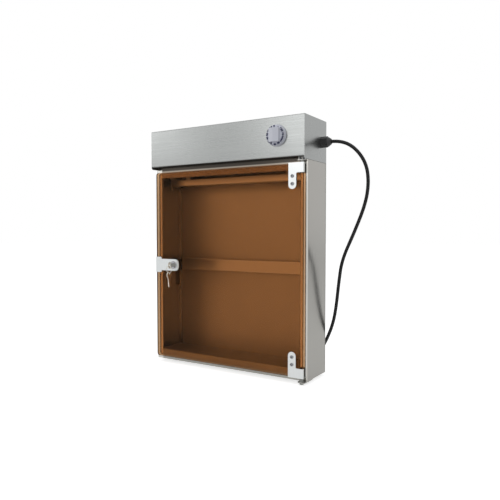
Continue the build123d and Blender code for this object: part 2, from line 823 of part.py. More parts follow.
def make_lock():
    """Cam lock: keeper plate round the door's edge, case, barrel and nut."""
    left = door_left - fold_gap - plate
    wide_right = door_left + lock_plate_arm
    low_to_high = (lock_height - lock_plate_wide / 2, lock_height + lock_plate_wide / 2)
    wide = block((left, wide_right), (door_front, door_front + plate), low_to_high)
    wide += block((left, left + plate), (door_back - lock_wrap, door_front + plate), low_to_high)
    wide = fillet(wide.edges().filter_by(Axis.Y).group_by(Axis.X)[-1], lock_plate_corner)
    outer_fold = wide.edges().filter_by(Axis.Z).group_by(Axis.Y)[0].sort_by(Axis.X)[0]
    wide = fillet(outer_fold, fold_round * plate)
    half_tongue = lock_plate_tongue / 2
    end = lock_x + lock_tongue_end
    keeper = wide + plate_in_front(tongue_face(wide_right - plate, end, half_tongue),
                                   (door_front, door_front + plate))
    keeper -= rod_forward(lock_x, lock_height, lock_barrel_radius + hole_clearance,
                          (door_front - plate, door_front + 2 * plate))
    save("lock_keeper_plate", keeper)

    case_left = door_left + lock_case_inset
    case = plate_in_front(tongue_face(case_left, end, half_tongue), (lock_case_back, door_back))
    hollow = tongue_face(case_left + lock_case_wall, end - lock_case_wall,
                         half_tongue - lock_case_wall)
    case -= plate_in_front(hollow, (lock_case_back + lock_case_wall, door_front))
    case -= rod_forward(lock_x, lock_height, lock_barrel_radius + hole_clearance,
                        (lock_case_back - lock_case_wall, door_back))
    save("lock_case", case)

    bore = lock_plug_radius + lock_running_gap
    profile = Polyline((bore, rim_front), (lock_rim_radius - lock_rim_bevel, rim_front),
                       (lock_rim_radius, rim_front - lock_rim_bevel),
                       (lock_rim_radius, door_front + plate),
                       (lock_barrel_radius, door_front + plate),
                       (lock_barrel_radius, barrel_back), (bore, barrel_back), close=True)
    barrel = Rot(90, 0, 0) * revolve(Plane.XZ * make_face(profile), Axis.Z)
    save("lock_barrel", place(lock_x, 0, lock_height) * barrel)
    nut = Rot(90, 0, 0) * hex_nut(lock_barrel_radius + nut_clearance,
                                  half_tongue - lock_nut_margin, lock_nut_thickness)
    save("lock_nut", place(lock_x, door_back - lock_nut_thickness, lock_height) * nut)


def make_plug_and_cam():
    """What turns with the key: the slotted plug, the cranked cam and the cam's screw."""
    square = cam_square / 2
    plug = rod_forward(lock_x, lock_height, lock_plug_radius,
                       (cam_front, rim_front - lock_plug_sink))
    plug += block((lock_x - square, lock_x + square), (cam_back, cam_front),
                  (lock_height - square, lock_height + square))
    keyway_back = bow_depth - key_bow_radius - key_blade_length - pivot_gap
    half_slot = key_thickness / 2 + hole_clearance
    half_keyway = key_blade_width / 2 + hole_clearance
    plug -= block((lock_x - half_slot, lock_x + half_slot), (keyway_back, rim_front + plate),
                  (lock_height - half_keyway, lock_height + half_keyway))
    screw_bore = keyway_back - cam_screw_land
    plug -= rod_forward(lock_x, lock_height, m3_radius + nut_clearance,
                        (cam_back - cam_thickness, screw_bore))
    save("lock_plug", plug)

    tip = lock_height - cam_length
    outline = make_face(Polyline(
        (lock_x - cam_width / 2, lock_height), (lock_x + cam_width / 2, lock_height),
        (lock_x + cam_tip_width / 2, tip), (lock_x - cam_tip_width / 2, tip), close=True))
    outline = fillet(outline.vertices().group_by(Axis.Y)[0], cam_tip_corner)
    outline += Pos(lock_x, lock_height) * Circle(cam_width / 2)
    seat = cam_square + 2 * nut_clearance
    outline -= Pos(lock_x, lock_height) * Rectangle(seat, seat)
    crank_start = lock_height - lock_barrel_radius - cam_crank_after
    crank_end = crank_start - cam_crank_slope * (cam_tip_front - cam_front)
    cranked = folded_across([(cam_front, lock_height + cam_width), (cam_front, crank_start),
                             (cam_tip_front, crank_end),
                             (cam_tip_front, lock_height - 2 * cam_length)],
                            (lock_x - cam_width, lock_x + cam_width), cam_thickness)
    save("lock_cam", cranked & plate_in_front(outline, (cam_back - sheet, cam_tip_front + sheet)))
    flanged = pan_screw(m3_radius, screw_bore - cam_back - pivot_gap)
    flanged += extrude(Circle(cam_washer_radius), amount=cam_washer)
    save("cam_screw", place(lock_x, cam_back, lock_height) * Rot(-90, 0, 0) * flanged)


def key_shape():
    """Key that lies in the YZ plane with its bow's middle at the origin and blade along +Y."""
    shoulder = key_bow_radius + key_shoulder
    tip = key_bow_radius + key_blade_length
    half = key_blade_width / 2
    stem = half + key_stem_margin
    cuts = [(tip - key_cut_pitch * (step + 1), key_cut_depth * level - half)
            for step, level in enumerate(key_cut_levels)]
    blade = Polyline((0, stem), (shoulder, stem), (shoulder, half), (tip - key_shoulder, half),
                     (tip, 0), *cuts, (shoulder, -half), (shoulder, -stem), (0, -stem), close=True)
    outline = make_face(blade) + Circle(key_bow_radius)
    outline -= Pos(-key_hole_offset, 0) * Circle(key_hole_radius)
    side = Plane((-key_thickness / 2, 0, 0), x_dir=(0, 1, 0), z_dir=(1, 0, 0))
    return extrude(side * outline, amount=key_thickness)


def make_keys():
    """Key in the lock, ring through its bow and the spare key that hangs on the ring."""
    save("lock_key", place(lock_x, bow_depth, lock_height) * key_shape())
    hole_depth = bow_depth + key_hole_offset
    ring = Rot(90, 0, 0) * Torus(key_ring_radius, key_ring_wire)
    save("key_ring", place(lock_x, hole_depth, key_ring_middle) * ring)
    hole_height = (key_ring_middle - key_ring_radius + key_ring_wire + key_hang_gap
                   - key_hole_radius)
    spare = place(lock_x, hole_depth, hole_height - key_hole_offset) * Rot(-90, 0, 0) * key_shape()
    save("spare_key", spare)


def make_timer():
    """Clockwork timer behind the header's front, with its spade terminals, and its shaft."""
    front = header_depth - sheet
    back = front - timer_depth
    half = timer_body / 2
    body = rod_forward(timer_x, timer_height, half, (back, front - timer_plate))
    body += block((timer_x - timer_plate_width / 2, timer_x + timer_plate_width / 2),
                  (front - timer_plate, front), (timer_height - half, timer_height + half))
    shaft_back = front - shaft_seat
    body -= rod_forward(timer_x, timer_height, shaft_radius + pivot_clearance,
                        (shaft_back, front + sheet))
    for x in timer_screw_places:
        body -= rod_forward(x, timer_height, m3_radius + hole_clearance,
                            (front - timer_screw_depth, front + sheet))
        small_screws.append(place(x, header_depth, timer_height)
                            * Rot(90, 0, 0) * pan_screw(m3_radius, m3_length))
    for x in (timer_x - timer_tab_pitch, timer_x, timer_x + timer_tab_pitch):
        body += block((x - timer_tab_width / 2, x + timer_tab_width / 2),
                      (back - timer_tab_length, back),
                      (timer_height - timer_tab_thick / 2, timer_height + timer_tab_thick / 2))
    save("timer_body", body)
    bore_front = knob_face + knob_bore_past_face
    shaft = rod_forward(timer_x, timer_height, shaft_radius,
                        (shaft_back + pivot_gap, bore_front - pivot_gap))
    shaft -= block((timer_x - shaft_radius, timer_x + shaft_radius),
                   (knob_back + knob_edge, bore_front),
                   (timer_height + shaft_flat, timer_height + 2 * shaft_radius))
    save("timer_shaft", shaft)


def make_knob():
    """Timer's knob: a hollow skirt with a pointed grip across its face."""
    ceiling = knob_recess - knob_gap
    profile = Polyline((0, knob_skirt), (knob_face_radius - knob_edge, knob_skirt),
                       (knob_face_radius, knob_skirt - knob_edge), (knob_radius, 0),
                       (knob_radius - knob_wall, 0), (knob_face_radius - knob_wall, ceiling),
                       (knob_hub_radius, ceiling), (knob_hub_radius, 0), (0, 0), close=True)
    knob = Rot(90, 0, 0) * revolve(Plane.XZ * make_face(profile), Axis.Z)
    knob = place(timer_x, knob_back, timer_height) * knob
    half = knob_grip_width / 2
    shoulder = half - knob_grip_taper
    ridge = make_face(Polyline((-half, -knob_edge), (half, -knob_edge),
                               (shoulder, knob_grip_edge), (0, knob_grip_ridge),
                               (-shoulder, knob_grip_edge), close=True))
    grip = extrude(ridge, amount=knob_grip_height / 2, both=True)
    corner_reach = math.hypot(half, knob_grip_height / 2) - knob_grip_taper
    grip = grip & (Rot(90, 0, 0) * Cylinder(corner_reach, 4 * knob_grip_ridge))
    turn = Plane((timer_x, wall_y - knob_face, base_z + timer_height), x_dir=(1, 0, 0),
                 z_dir=(0, 0, 1))
    knob += turn * (Rot(180, 0, 0) * grip)
    bore = (knob_back - knob_gap, knob_face + knob_bore_past_face)
    knob -= rod_forward(timer_x, timer_height, shaft_radius + pivot_clearance, bore)
    knob += block((timer_x - shaft_radius, timer_x + shaft_radius),
                  (knob_back + knob_edge, knob_face + knob_bore_past_face),
                  (timer_height + shaft_flat + pivot_clearance,
                   timer_height + shaft_radius + knob_edge))
    save("timer_knob", knob)


def lamp_holder(face, outward):
    """Holder that hangs from the shelf and takes the two pins at one end of the lamp."""
    near_depth = lamp_depth - lamp_radius
    far_depth = lamp_depth + lamp_radius
    outline = make_face(Polyline(
        (near_depth, lamp_height), (far_depth, lamp_height), (far_depth, shelf_height),
        (near_depth, shelf_height), close=True)) + Pos(lamp_depth, lamp_height) * Circle(lamp_radius)
    side_plane = Plane((min(face, face + outward * holder_thickness), wall_y, base_z),
                       x_dir=(0, -1, 0), z_dir=(-1, 0, 0))
    holder = extrude(side_plane * outline, amount=holder_thickness, dir=(1, 0, 0))
    socket = sorted((face - outward * holder_gap, face + outward * (lamp_pin_length + holder_gap)))
    for depth in lamp_pin_depths():
        holder -= rod_across(depth, lamp_height, lamp_pin_radius + hole_clearance, socket)
    return holder


def lamp_pin_depths():
    return (lamp_depth - lamp_pin_pitch / 2, lamp_depth + lamp_pin_pitch / 2)


def make_lamp():
    """Germicidal tube with its capped ends and the two holders."""
    glass_half = lamp_length / 2 - lamp_cap
    glass = rod_across(lamp_depth, lamp_height, lamp_radius, (-glass_half, glass_half))
    glass -= rod_across(lamp_depth, lamp_height, lamp_radius - lamp_glass_wall,
                        (-lamp_length / 2, lamp_length / 2))
    save("lamp_tube", glass)
    caps = []
    holders = []
    for side in (-1, 1):
        end = side * lamp_length / 2
        cap = rod_across(lamp_depth, lamp_height, lamp_radius,
                         sorted((end, end - side * lamp_cap)))
        for depth in lamp_pin_depths():
            cap += rod_across(depth, lamp_height, lamp_pin_radius,
                              sorted((end - side, end + side * lamp_pin_length)))
        caps.append(cap)
        holders.append(lamp_holder(end + side * holder_gap, side))
    save("lamp_end_caps", group(caps))
    save("lamp_holders", group(holders))


def make_shield():
    """Shield that hides the lamp from the front, on two hangers under the shelf."""
    path = [(shield_front, shield_bottom + shield_lip), (shield_front, shield_bottom),
            (shield_back, shield_bottom), (shield_back, shield_bottom + shield_rear_lip)]
    shield = folded_across(path, (-shield_length / 2, shield_length / 2))
    strip_front = shield_front - sheet
    low = shield_bottom + 3 * sheet
    for side in (-1, 1):
        tab = sorted((side * shield_length / 2, side * (shield_length / 2 - shield_tab_width)))
        shield += block(tab, (strip_front, shield_front), (shield_bottom - shield_tab_drop, low))
    save("lamp_shield", shield)
    hangers = []
    under = shelf_height - hanger_plate
    for x in (-hanger_x, hanger_x):
        path = [(strip_front + hanger_foot, under), (strip_front, under), (strip_front, low)]
        hanger = folded_across(path, (x - hanger_width / 2, x + hanger_width / 2), hanger_plate)
        hanger -= rod_upright(x, hanger_screw_depth, m3_radius + hole_clearance,
                              (under - hanger_plate, shelf_height + hanger_plate))
        hangers.append(hanger)
        small_screws.append(place(x, hanger_screw_depth, under)
                            * Rot(180, 0, 0) * pan_screw(m3_radius, m3_length))
    save("shield_hangers", group(hangers))


def make_rack():
    """Magnetic rack: folded front channel over magnets on a steel strip with spacers."""
    low = rack_middle - rack_height / 2
    high = rack_middle + rack_height / 2
    back = sheet + rack_spacer
    half_length = rack_length / 2
    path = [(back, high), (rack_depth, high), (rack_depth, low), (back, low)]
    save("rack_channel", folded_across(path, (-half_length, half_length)))
    strip_front = back + rack_strip
    inside_low = low + sheet + rack_strip_gap
    inside_high = high - sheet - rack_strip_gap
    strip = block((rack_edge_gap - half_length, half_length - rack_edge_gap),
                  (back, strip_front), (inside_low, inside_high))
    magnets = []
    for step in range(rack_magnet_count):
        x = (step + 0.5) * rack_pitch - half_length
        magnets.append(block((x - rack_magnet_width / 2, x + rack_magnet_width / 2),
                             (strip_front, strip_front + rack_magnet_depth),
                             (inside_low + rack_edge_gap, inside_high - rack_edge_gap)))
    spacers = []
    hole = m4_radius + hole_clearance
    for x in rack_screw_places:
        strip -= rod_forward(x, rack_middle, hole, (back - sheet, strip_front + sheet))
        spacer = rod_forward(x, rack_middle, rack_spacer_radius, (sheet, back))
        spacers.append(spacer - rod_forward(x, rack_middle, hole, (0, back + sheet)))
        long_screws.append(place(x, strip_front, rack_middle)
                           * Rot(90, 0, 0) * pan_screw(m4_radius, m4_long_length))
    save("rack_back_strip", strip)
    save("rack_magnets", group(magnets))
    save("rack_spacers", group(spacers))


def make_choke():
    """Choke: laminated core over a wound coil, with a foot at each end."""
    half_length = ballast_length / 2
    half_core = half_length - ballast_core_inset
    half_winding = ballast_width / 2 - winding_inset
    foot_reach = half_length + ballast_foot
    choke = block((ballast_x - half_core, ballast_x + half_core),
                  (ballast_depth - ballast_width / 2, ballast_depth + ballast_width / 2),
                  (shelf_top + sheet, shelf_top + ballast_height))
    choke += block((ballast_x - half_length, ballast_x + half_length),
                   (ballast_depth - half_winding, ballast_depth + half_winding),
                   (shelf_top + sheet, shelf_top + ballast_height - winding_drop))
    choke += block((ballast_x - foot_reach, ballast_x + foot_reach),
                   (ballast_depth - ballast_foot_width / 2, ballast_depth + ballast_foot_width / 2),
                   (shelf_top, shelf_top + sheet))
    for x in ballast_screw_places:
        choke -= rod_upright(x, ballast_depth, m4_radius + hole_clearance,
                             (shelf_height, shelf_top + 2 * sheet))
        short_screws.append(place(x, ballast_depth, shelf_top + sheet)
                            * pan_screw(m4_radius, m4_short_length))
    save("ballast_choke", choke)


def make_starter_and_terminals():
    """Starter in its socket, and the mains terminals."""
    top = shelf_top + starter_base_height
    socket = block((starter_x - starter_base_length / 2, starter_x + starter_base_length / 2),
                   (starter_depth - starter_base_width / 2, starter_depth + starter_base_width / 2),
                   (shelf_top, top))
    socket -= rod_upright(starter_x, starter_depth, starter_radius + pivot_gap,
                          (top - starter_seat, top + sheet))
    save("starter_socket", socket)
    can = rod_upright(starter_x, starter_depth, starter_radius,
                      (top - starter_seat, top - starter_seat + starter_length))
    save("starter", fillet(can.edges().group_by(Axis.Z)[-1], starter_edge))

    top = shelf_top + terminal_height
    terminals = block((terminal_x - terminal_length / 2, terminal_x + terminal_length / 2),
                      (terminal_depth - terminal_width / 2, terminal_depth + terminal_width / 2),
                      (shelf_top, top))
    for step in (-1, 0, 1):
        terminals -= rod_upright(terminal_x + step * terminal_length / 3, terminal_depth,
                                 terminal_screw_radius, (top - terminal_screw_depth, top + sheet))
    save("terminal_block", terminals)


def wire(points):
    """Insulated wire through points given as x, depth and height."""
    route = [Vector(x, wall_y - depth, base_z + height) for x, depth, height in points]
    path = FilletPolyline(*route, radius=[wire_bend] * (len(route) - 2))
    return sweep(Plane(route[0], z_dir=route[1] - route[0]) * Circle(wire_radius), path=path)


def make_wiring():
    """Leads of the lamp's circuit: terminals, timer, choke, both holders and the starter."""
    tab_back = header_depth - sheet - timer_depth - timer_tab_length
    block_front = terminal_depth + terminal_width / 2
    crossing = (block_front + tab_back) / 2
    block_left = terminal_x - terminal_length / 2
    block_right = terminal_x + terminal_length / 2
    choke_right = ballast_x + ballast_length / 2
    choke_left = ballast_x - ballast_length / 2
    choke_lead = ballast_depth + wire_step
    socket_left = starter_x - starter_base_length / 2
    socket_right = starter_x + starter_base_length / 2
    tab_x = timer_x + timer_tab_pitch
    rise = shelf_top + terminal_height / 2
    on_shelf = shelf_top + wire_radius + pivot_gap
    near_hole = lamp_depth - wire_spread
    far_hole = lamp_depth + wire_spread
    before_hole = holder_middle - wire_step
    leads = [
        wire([(terminal_x, block_front, rise), (terminal_x, crossing, rise),
              (tab_x, crossing, timer_height), (tab_x, tab_back, timer_height)]),
        wire([(block_left, terminal_depth, rise), (block_left - 2 * wire_step, terminal_depth, rise),
              (block_left - 3 * wire_step, choke_lead, rise), (choke_right, choke_lead, rise)]),
        wire([(choke_left, ballast_depth, rise), (choke_left - 2 * wire_step, ballast_depth, rise),
              (choke_left - 4 * wire_step, far_hole, rise), (-holder_middle, far_hole, rise),
              (-holder_middle, far_hole, shelf_height)]),
        wire([(socket_left, starter_depth, rise), (socket_left - wire_step, starter_depth, rise),
              (socket_left - 2 * wire_step, near_hole, on_shelf),
              (wire_step - before_hole, near_hole, on_shelf), (-before_hole, near_hole, rise),
              (-holder_middle, near_hole, rise), (-holder_middle, near_hole, shelf_height)]),
        wire([(socket_right, starter_depth, rise), (socket_right + wire_step, starter_depth, rise),
              (socket_right + 2 * wire_step, near_hole, on_shelf),
              (before_hole - wire_step, near_hole, on_shelf), (before_hole, near_hole, rise),
              (holder_middle, near_hole, rise), (holder_middle, near_hole, shelf_height)]),
        wire([(block_right, terminal_depth, rise), (holder_middle, terminal_depth, rise),
              (holder_middle, far_hole, rise), (holder_middle, far_hole, shelf_height)]),
    ]
    save("internal_wires", group(leads))
    bore = wire_radius + grommet_gap
    sleeve = wire_hole_radius - grommet_gap
    brim = wire_hole_radius + grommet_flange
    profile = Polyline((bore, shelf_height), (sleeve, shelf_height), (sleeve, shelf_top),
                       (brim, shelf_top), (brim, shelf_top + grommet_flange),
                       (bore, shelf_top + grommet_flange), close=True)
    grommet = revolve(Plane.XZ * make_face(profile), Axis.Z)
    save("wire_grommets", group([place(x, depth, 0) * grommet for x, depth in wire_hole_places]))


def make_gland():
    """Cable gland: flanged body through the header's cheek, dome nut and locknut."""
    flat = gland_flats / 2
    inner_end = -sheet - gland_inside
    brim = gland_thread_radius + gland_brim
    body = Polyline((0, inner_end), (gland_thread_radius, inner_end), (gland_thread_radius, 0),
                    (brim, 0), (brim, gland_flange), (0, gland_flange), close=True)
    turned = revolve(Plane.XZ * make_face(body), Axis.Z)
    turned += extrude(RegularPolygon(flat, 6, major_radius=False), amount=gland_flange)
    to_side = place(half_width, gland_depth, gland_height) * Rot(0, 90, 0)
    save("gland_body", to_side * turned)
    straight = gland_nut_length - gland_nut_taper
    tip = gland_flange + gland_nut_length
    mouth = cord_radius + gland_mouth
    profile = Polyline((0, gland_flange), (flat, gland_flange), (flat, gland_flange + straight),
                       (mouth + 2 * gland_lip, tip - gland_lip), (mouth + gland_lip, tip),
                       (0, tip), close=True)
    dome = revolve(Plane.XZ * make_face(profile), Axis.Z)
    flats = extrude(Pos(0, 0, gland_flange) * RegularPolygon(flat, 6, major_radius=False),
                    amount=straight - gland_lip)
    save("gland_nut", to_side * (dome + flats))
    lock = hex_nut(gland_thread_radius + hole_clearance, gland_thread_radius + gland_locknut_wall,
                   gland_locknut)
    save("gland_locknut", to_side * Pos(0, 0, -sheet - gland_locknut) * lock)


def coil_marks():
    """Ends of the coil's half turns, as radius and layer: it winds in, climbs and winds out."""
    step = coil_pitch / 2
    inwards = [(coil_entry_radius - step * turn, 0) for turn in range(coil_half_turns_in + 1)]
    innermost = inwards[-1][0]
    outwards = [(innermost + step * turn, 1) for turn in range(coil_half_turns_out + 1)]
    return inwards + outwards


def coil_path():
    """Half circles between the marks, with one cord diameter of straight run at each end."""
    points = []
    for turn, (radius, layer) in enumerate(coil_marks()):
        side = -1 if turn % 2 == 0 else 1
        points.append(Vector(coil_middle_x, wall_y + coil_middle_behind + side * radius,
                             cord_radius + cord_lift + layer * coil_layer))
    straight = Vector(2 * cord_radius, 0, 0)
    lines = [Line(points[0] + straight, points[0])]
    for turn, (start, end) in enumerate(zip(points, points[1:])):
        way = -1 if turn % 2 == 0 else 1
        bulge = Vector(way * (end - start).length / 2, 0, 0)
        lines.append(ThreePointArc(start, (start + end) / 2 + bulge, end))
    lines.append(Line(points[-1], points[-1] - straight))
    return Wire([edge for line in lines for edge in line.edges()])


def least_self_gap(path):
    """Smallest gap between stretches of the cord over half a turn apart, on sampled points."""
    count = int(path.length / gap_sample)
    samples = [path.position_at(step / count) for step in range(count + 1)]
    apart = int(coil_entry_radius * math.pi / gap_sample)
    gaps = [(samples[b] - samples[a]).length for a in range(count + 1)
            for b in range(a + apart, count + 1)]
    return min(gaps) - 2 * cord_radius


def make_cord():
    """Free stretch, coil and tail of the power cord, and the tie round the coil."""
    free = [(x, wall_y + behind, height) for x, behind, height in cord_route]
    save("power_cord", tube_along(free))
    path = coil_path()
    start = Plane(path.position_at(0), z_dir=path.tangent_at(0))
    coil = sweep(start * Circle(cord_radius), path=path)
    print("coil length", round(path.length, 1), "least gap to itself",
          round(least_self_gap(path), 2), "volume over section times length",
          round(coil.volume / (path.length * cord_area), 4))
    save("cord_coil", coil)
    tail = [(x, wall_y + behind, height) for x, behind, height in tail_route]
    save("cord_tail", tube_along(tail))

    behind = [radius for radius, layer in coil_marks()[1::2]]
    inner = min(behind) - cord_radius - tie_gap
    outer = max(behind) + cord_radius + tie_gap
    low = cord_lift - tie_gap
    high = cord_lift + 2 * cord_radius + coil_layer + tie_gap
    middle = Plane((coil_middle_x - tie_width / 2,
                    wall_y + coil_middle_behind + (inner + outer) / 2, (low + high) / 2),
                   x_dir=(0, 1, 0), z_dir=(1, 0, 0))
    loop = RectangleRounded(outer - inner + 2 * tie_thickness, high - low + 2 * tie_thickness,
                            tie_corner + tie_thickness)
    loop -= RectangleRounded(outer - inner, high - low, tie_corner)
    save("coil_tie", extrude(middle * loop, amount=tie_width))


def make_plug():
    """Round mains plug with its bend relief, and its two pins."""
    end = tail_route[-1]
    at_plug = Pos(end[0], wall_y + end[1], end[2]) * Rot(0, -90, 0)
    grip_end = plug_relief + plug_grip
    face = grip_end + plug_face
    waist = plug_grip_radius - plug_taper
    profile = make_face(Polyline(
        (0, 0), (plug_relief_radius, 0), (plug_relief_radius + plug_taper, plug_relief),
        (waist, plug_relief + plug_taper), (plug_grip_radius, grip_end - plug_shoulder),
        (plug_grip_radius, grip_end), (plug_radius, grip_end + plug_taper),
        (plug_radius, face - plug_edge), (plug_radius - plug_edge, face), (0, face), close=True))
    save("plug_body", at_plug * revolve(Plane.XZ * profile, Axis.Z))
    pins = []
    for side in (-1, 1):
        rod = Cylinder(plug_pin_radius, plug_pin_length)
        rod = fillet(rod.edges().group_by(Axis.Z)[-1], plug_pin_round)
        pins.append(at_plug * Pos(0, side * plug_pin_pitch / 2, face + plug_pin_length / 2) * rod)
    save("plug_pins", group(pins))


make_back()
make_sides()
make_floor()
make_shelf()
make_header_cover()
make_feet()
make_upper_pivot()
make_lower_pivot()
make_door()
make_lock()
make_plug_and_cam()
make_keys()
make_timer()
make_knob()
make_lamp()
make_shield()
make_rack()
make_choke()
make_starter_and_terminals()
make_wiring()
make_gland()
make_cord()
make_plug()
save("m3_screws", group(small_screws))
save("m4_short_screws", group(short_screws))
save("m4_long_screws", group(long_screws))

os.makedirs("parts", exist_ok=True)
for name, shape in parts.items():
    export_step(shape, f"parts/{name}.step")
print(len(parts), "sub-parts, origin", round(wall_y, 2), "in front of the back face")
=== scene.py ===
# %% [markdown]
# A knife sterilizer cabinet, dressed for a studio picture.
# The real thing is a shallow box folded from stainless steel sheet. A tinted acrylic door
# hangs on two pivots, a deeper header carries a timer, and a black mains lead leaves the
# header's right cheek and runs down behind the box.
# The solids come from the drawing office, at their real size. This file adds what a drawing
# doesn't have: finishes, light, printed marks, the recesses of the screws and the lead.

# %% load the frame
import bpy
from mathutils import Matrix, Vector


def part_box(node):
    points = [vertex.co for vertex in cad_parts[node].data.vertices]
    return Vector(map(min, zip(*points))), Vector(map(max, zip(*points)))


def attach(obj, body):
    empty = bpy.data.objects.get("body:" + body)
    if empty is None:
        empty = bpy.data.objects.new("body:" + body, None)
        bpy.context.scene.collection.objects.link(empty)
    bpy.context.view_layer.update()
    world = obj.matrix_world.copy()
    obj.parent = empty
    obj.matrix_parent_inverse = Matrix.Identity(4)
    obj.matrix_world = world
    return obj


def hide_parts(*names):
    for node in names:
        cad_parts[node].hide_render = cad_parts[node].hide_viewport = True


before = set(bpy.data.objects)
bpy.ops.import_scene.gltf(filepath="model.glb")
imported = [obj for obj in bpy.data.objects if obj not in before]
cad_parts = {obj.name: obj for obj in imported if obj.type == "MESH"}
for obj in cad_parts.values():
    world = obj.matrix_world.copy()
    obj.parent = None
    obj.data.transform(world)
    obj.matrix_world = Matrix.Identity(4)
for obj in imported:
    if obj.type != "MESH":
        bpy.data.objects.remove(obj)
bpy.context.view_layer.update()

# %% libraries
import math

import bpy
import numpy as np
from mathutils import Vector

# %% [markdown]
# Everything is measured in millimetres from two surfaces of the real cabinet: the back face
# and the lower edge of the body. A depth counts forwards from the back face and a height
# counts upwards from the lower edge. Both surfaces are read from the frame, so a piece that
# is placed this way stays on the cabinet whatever its size.

# %% places
MM = 0.001
back_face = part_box("back_panel")[1][1]
lower_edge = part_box("left_side_panel")[0][2]


def at(x, depth, height):
    """Point from x, depth and height in millimetres, as metres in the frame."""
    return Vector((x * MM, back_face - depth * MM, lower_edge + height * MM))


print("back face at y", round(back_face, 5), "lower edge at z", round(lower_edge, 5))

# %% [markdown]
# The camera stands where the photographer's stood. Its place and lens were worked out from
# the corners of the cabinet in the picture: about 1.4 m away, to the right of the front and
# level with the upper part of the door. A camera looks along its own -Z, so it is first
# tipped up to look along +Y and then turned.

# %% camera
camera_data = bpy.data.cameras.new("camera")
camera_data.sensor_width = 36
camera_data.lens = 38.41
camera = bpy.data.objects.new("camera", camera_data)
camera.location = at(790.7, 1262.1, 368.7)
looks_down, turned_left = math.radians(2.246), math.radians(31.753)
camera.rotation_euler = (math.pi / 2 - looks_down, 0, turned_left)
bpy.context.scene.collection.objects.link(camera)
bpy.context.scene.camera = camera
print("camera at", [round(value, 3) for value in camera.location])

# %% [markdown]
# The lead is one smooth line. A NURBS curve with three control points at a time bends like
# rubber cable does: evenly, with no corners. Its control points are the ones that the lead's
# solid was drawn along. The length that the picture doesn't show is wound into a neat coil
# behind the cabinet, in two layers, and ends in its plug. The curve's round section has a
# radius of 1 m, and each point scales it down to the real one, which is how a point's radius
# works. Written so, the curve's own bound box stays as tight as the lead.

# %% lead's route
cord_diameter = 8.5
cord_route = [
    (263, -27, 594), (288, -27, 594), (323.6, -25.5, 575), (350.7, -21.5, 536.3),
    (355.5, -15.5, 490.5), (345.2, -8, 439.4), (313.6, 0.3, 369.5), (279.7, 5.5, 300),
    (270.5, 8.5, 245), (261.8, 12.3, 176.1), (252.2, 15, 133.3), (234.5, 19, 92),
    (212, 23, 54), (186, 26, 26), (160, 27, 9.5), (134, 27, 5.55), (108.5, 27, 5.55),
]
tail_route = [(91.5, 21.6, 14.65), (71, 21.6, 14.65), (50, 21.6, 18.5), (30, 21.6, 18.5)]
coil_x, coil_behind, coil_floor = 100, 80, 5.55
coil_entry_radius, coil_step, coil_layer = 53, 5.4, 9.1
half_turns_in, half_turns_out = 2, 3
points_per_half_turn = 12


def coil_route():
    """Half circles between marks in front of and behind the coil's middle: the radius
    shrinks by a step each half turn, the line climbs one layer, then the radius grows."""
    inwards = [(coil_entry_radius - coil_step * turn, 0) for turn in range(half_turns_in + 1)]
    outwards = [(inwards[-1][0] + coil_step * turn, 1) for turn in range(half_turns_out + 1)]
    marks = []
    for turn, (radius, layer) in enumerate(inwards + outwards):
        side = -1 if turn % 2 == 0 else 1
        marks.append(np.array([coil_x, coil_behind + side * radius,
                               coil_floor + layer * coil_layer]))
    route = []
    for turn, (start, end) in enumerate(zip(marks, marks[1:])):
        middle = (start + end) / 2
        way = -1 if turn % 2 == 0 else 1
        bulge = np.array([way * np.linalg.norm(end - start) / 2, 0, 0])
        for step in range(points_per_half_turn):
            angle = math.pi * step / points_per_half_turn
            route.append(tuple(middle + (start - middle) * math.cos(angle)
                               + bulge * math.sin(angle)))
    return route + [tuple(marks[-1])]


lead_route = cord_route + coil_route() + tail_route
print("control points of the lead:", len(lead_route))


# %% lead
def smooth_line(name, points, diameter):
    """Round NURBS curve through control points given as x, distance behind the back face
    and height over the floor, in millimetres."""
    data = bpy.data.curves.new(name, "CURVE")
    data.dimensions = "3D"
    data.resolution_u = 8
    data.bevel_depth = 1.0
    data.bevel_resolution = 6
    data.use_fill_caps = True
    spline = data.splines.new("NURBS")
    spline.points.add(len(points) - 1)
    for point, (x, behind, height) in zip(spline.points, points):
        point.co = (x * MM, back_face + behind * MM, height * MM, 1)
        point.radius = diameter * MM / 2
    spline.order_u = 3
    spline.use_endpoint_u = True
    curve = bpy.data.objects.new(name, data)
    bpy.context.scene.collection.objects.link(curve)
    return curve


lead = smooth_line("mains_lead", lead_route, cord_diameter)
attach(lead, "cabinet")
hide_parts("power_cord", "cord_coil", "cord_tail")
print("lead of 1.73 m, diameter", cord_diameter, "mm")

# %% [markdown]
# Colours are written the way a paint shop reads them, as sRGB hex. A shader wants the amount
# of light instead, so one function turns each value to linear. One more function adds a
# node: its settings are named, and an input takes either a number or another node's output.


# %% colours and nodes
def linear(hex_colour):
    """Linear RGB of an sRGB hex: c / 12.92 up to 0.04045, above it ((c + 0.055) / 1.055) ** 2.4."""
    values = np.array([int(hex_colour[i:i + 2], 16) for i in (1, 3, 5)]) / 255
    light = np.where(values <= 0.04045, values / 12.92, ((values + 0.055) / 1.055) ** 2.4)
    return (*light, 1.0)


def add_node(tree, kind, inputs=None, **settings):
    """Adds a node of a kind. An input is a plain value, or a pair of node and output name."""
    node = tree.nodes.new(kind)
    for name, value in settings.items():
        setattr(node, name, value)
    for name, value in (inputs or {}).items():
        if isinstance(value, tuple) and isinstance(value[0], bpy.types.Node):
            tree.links.new(value[0].outputs[value[1]], node.inputs[name])
        else:
            node.inputs[name].default_value = value
    return node


def new_material(name):
    """Empty material with only its output."""
    material = bpy.data.materials.new(name)
    material.use_nodes = True
    tree = material.node_tree
    tree.nodes.clear()
    return material, tree, tree.nodes.new("ShaderNodeOutputMaterial")


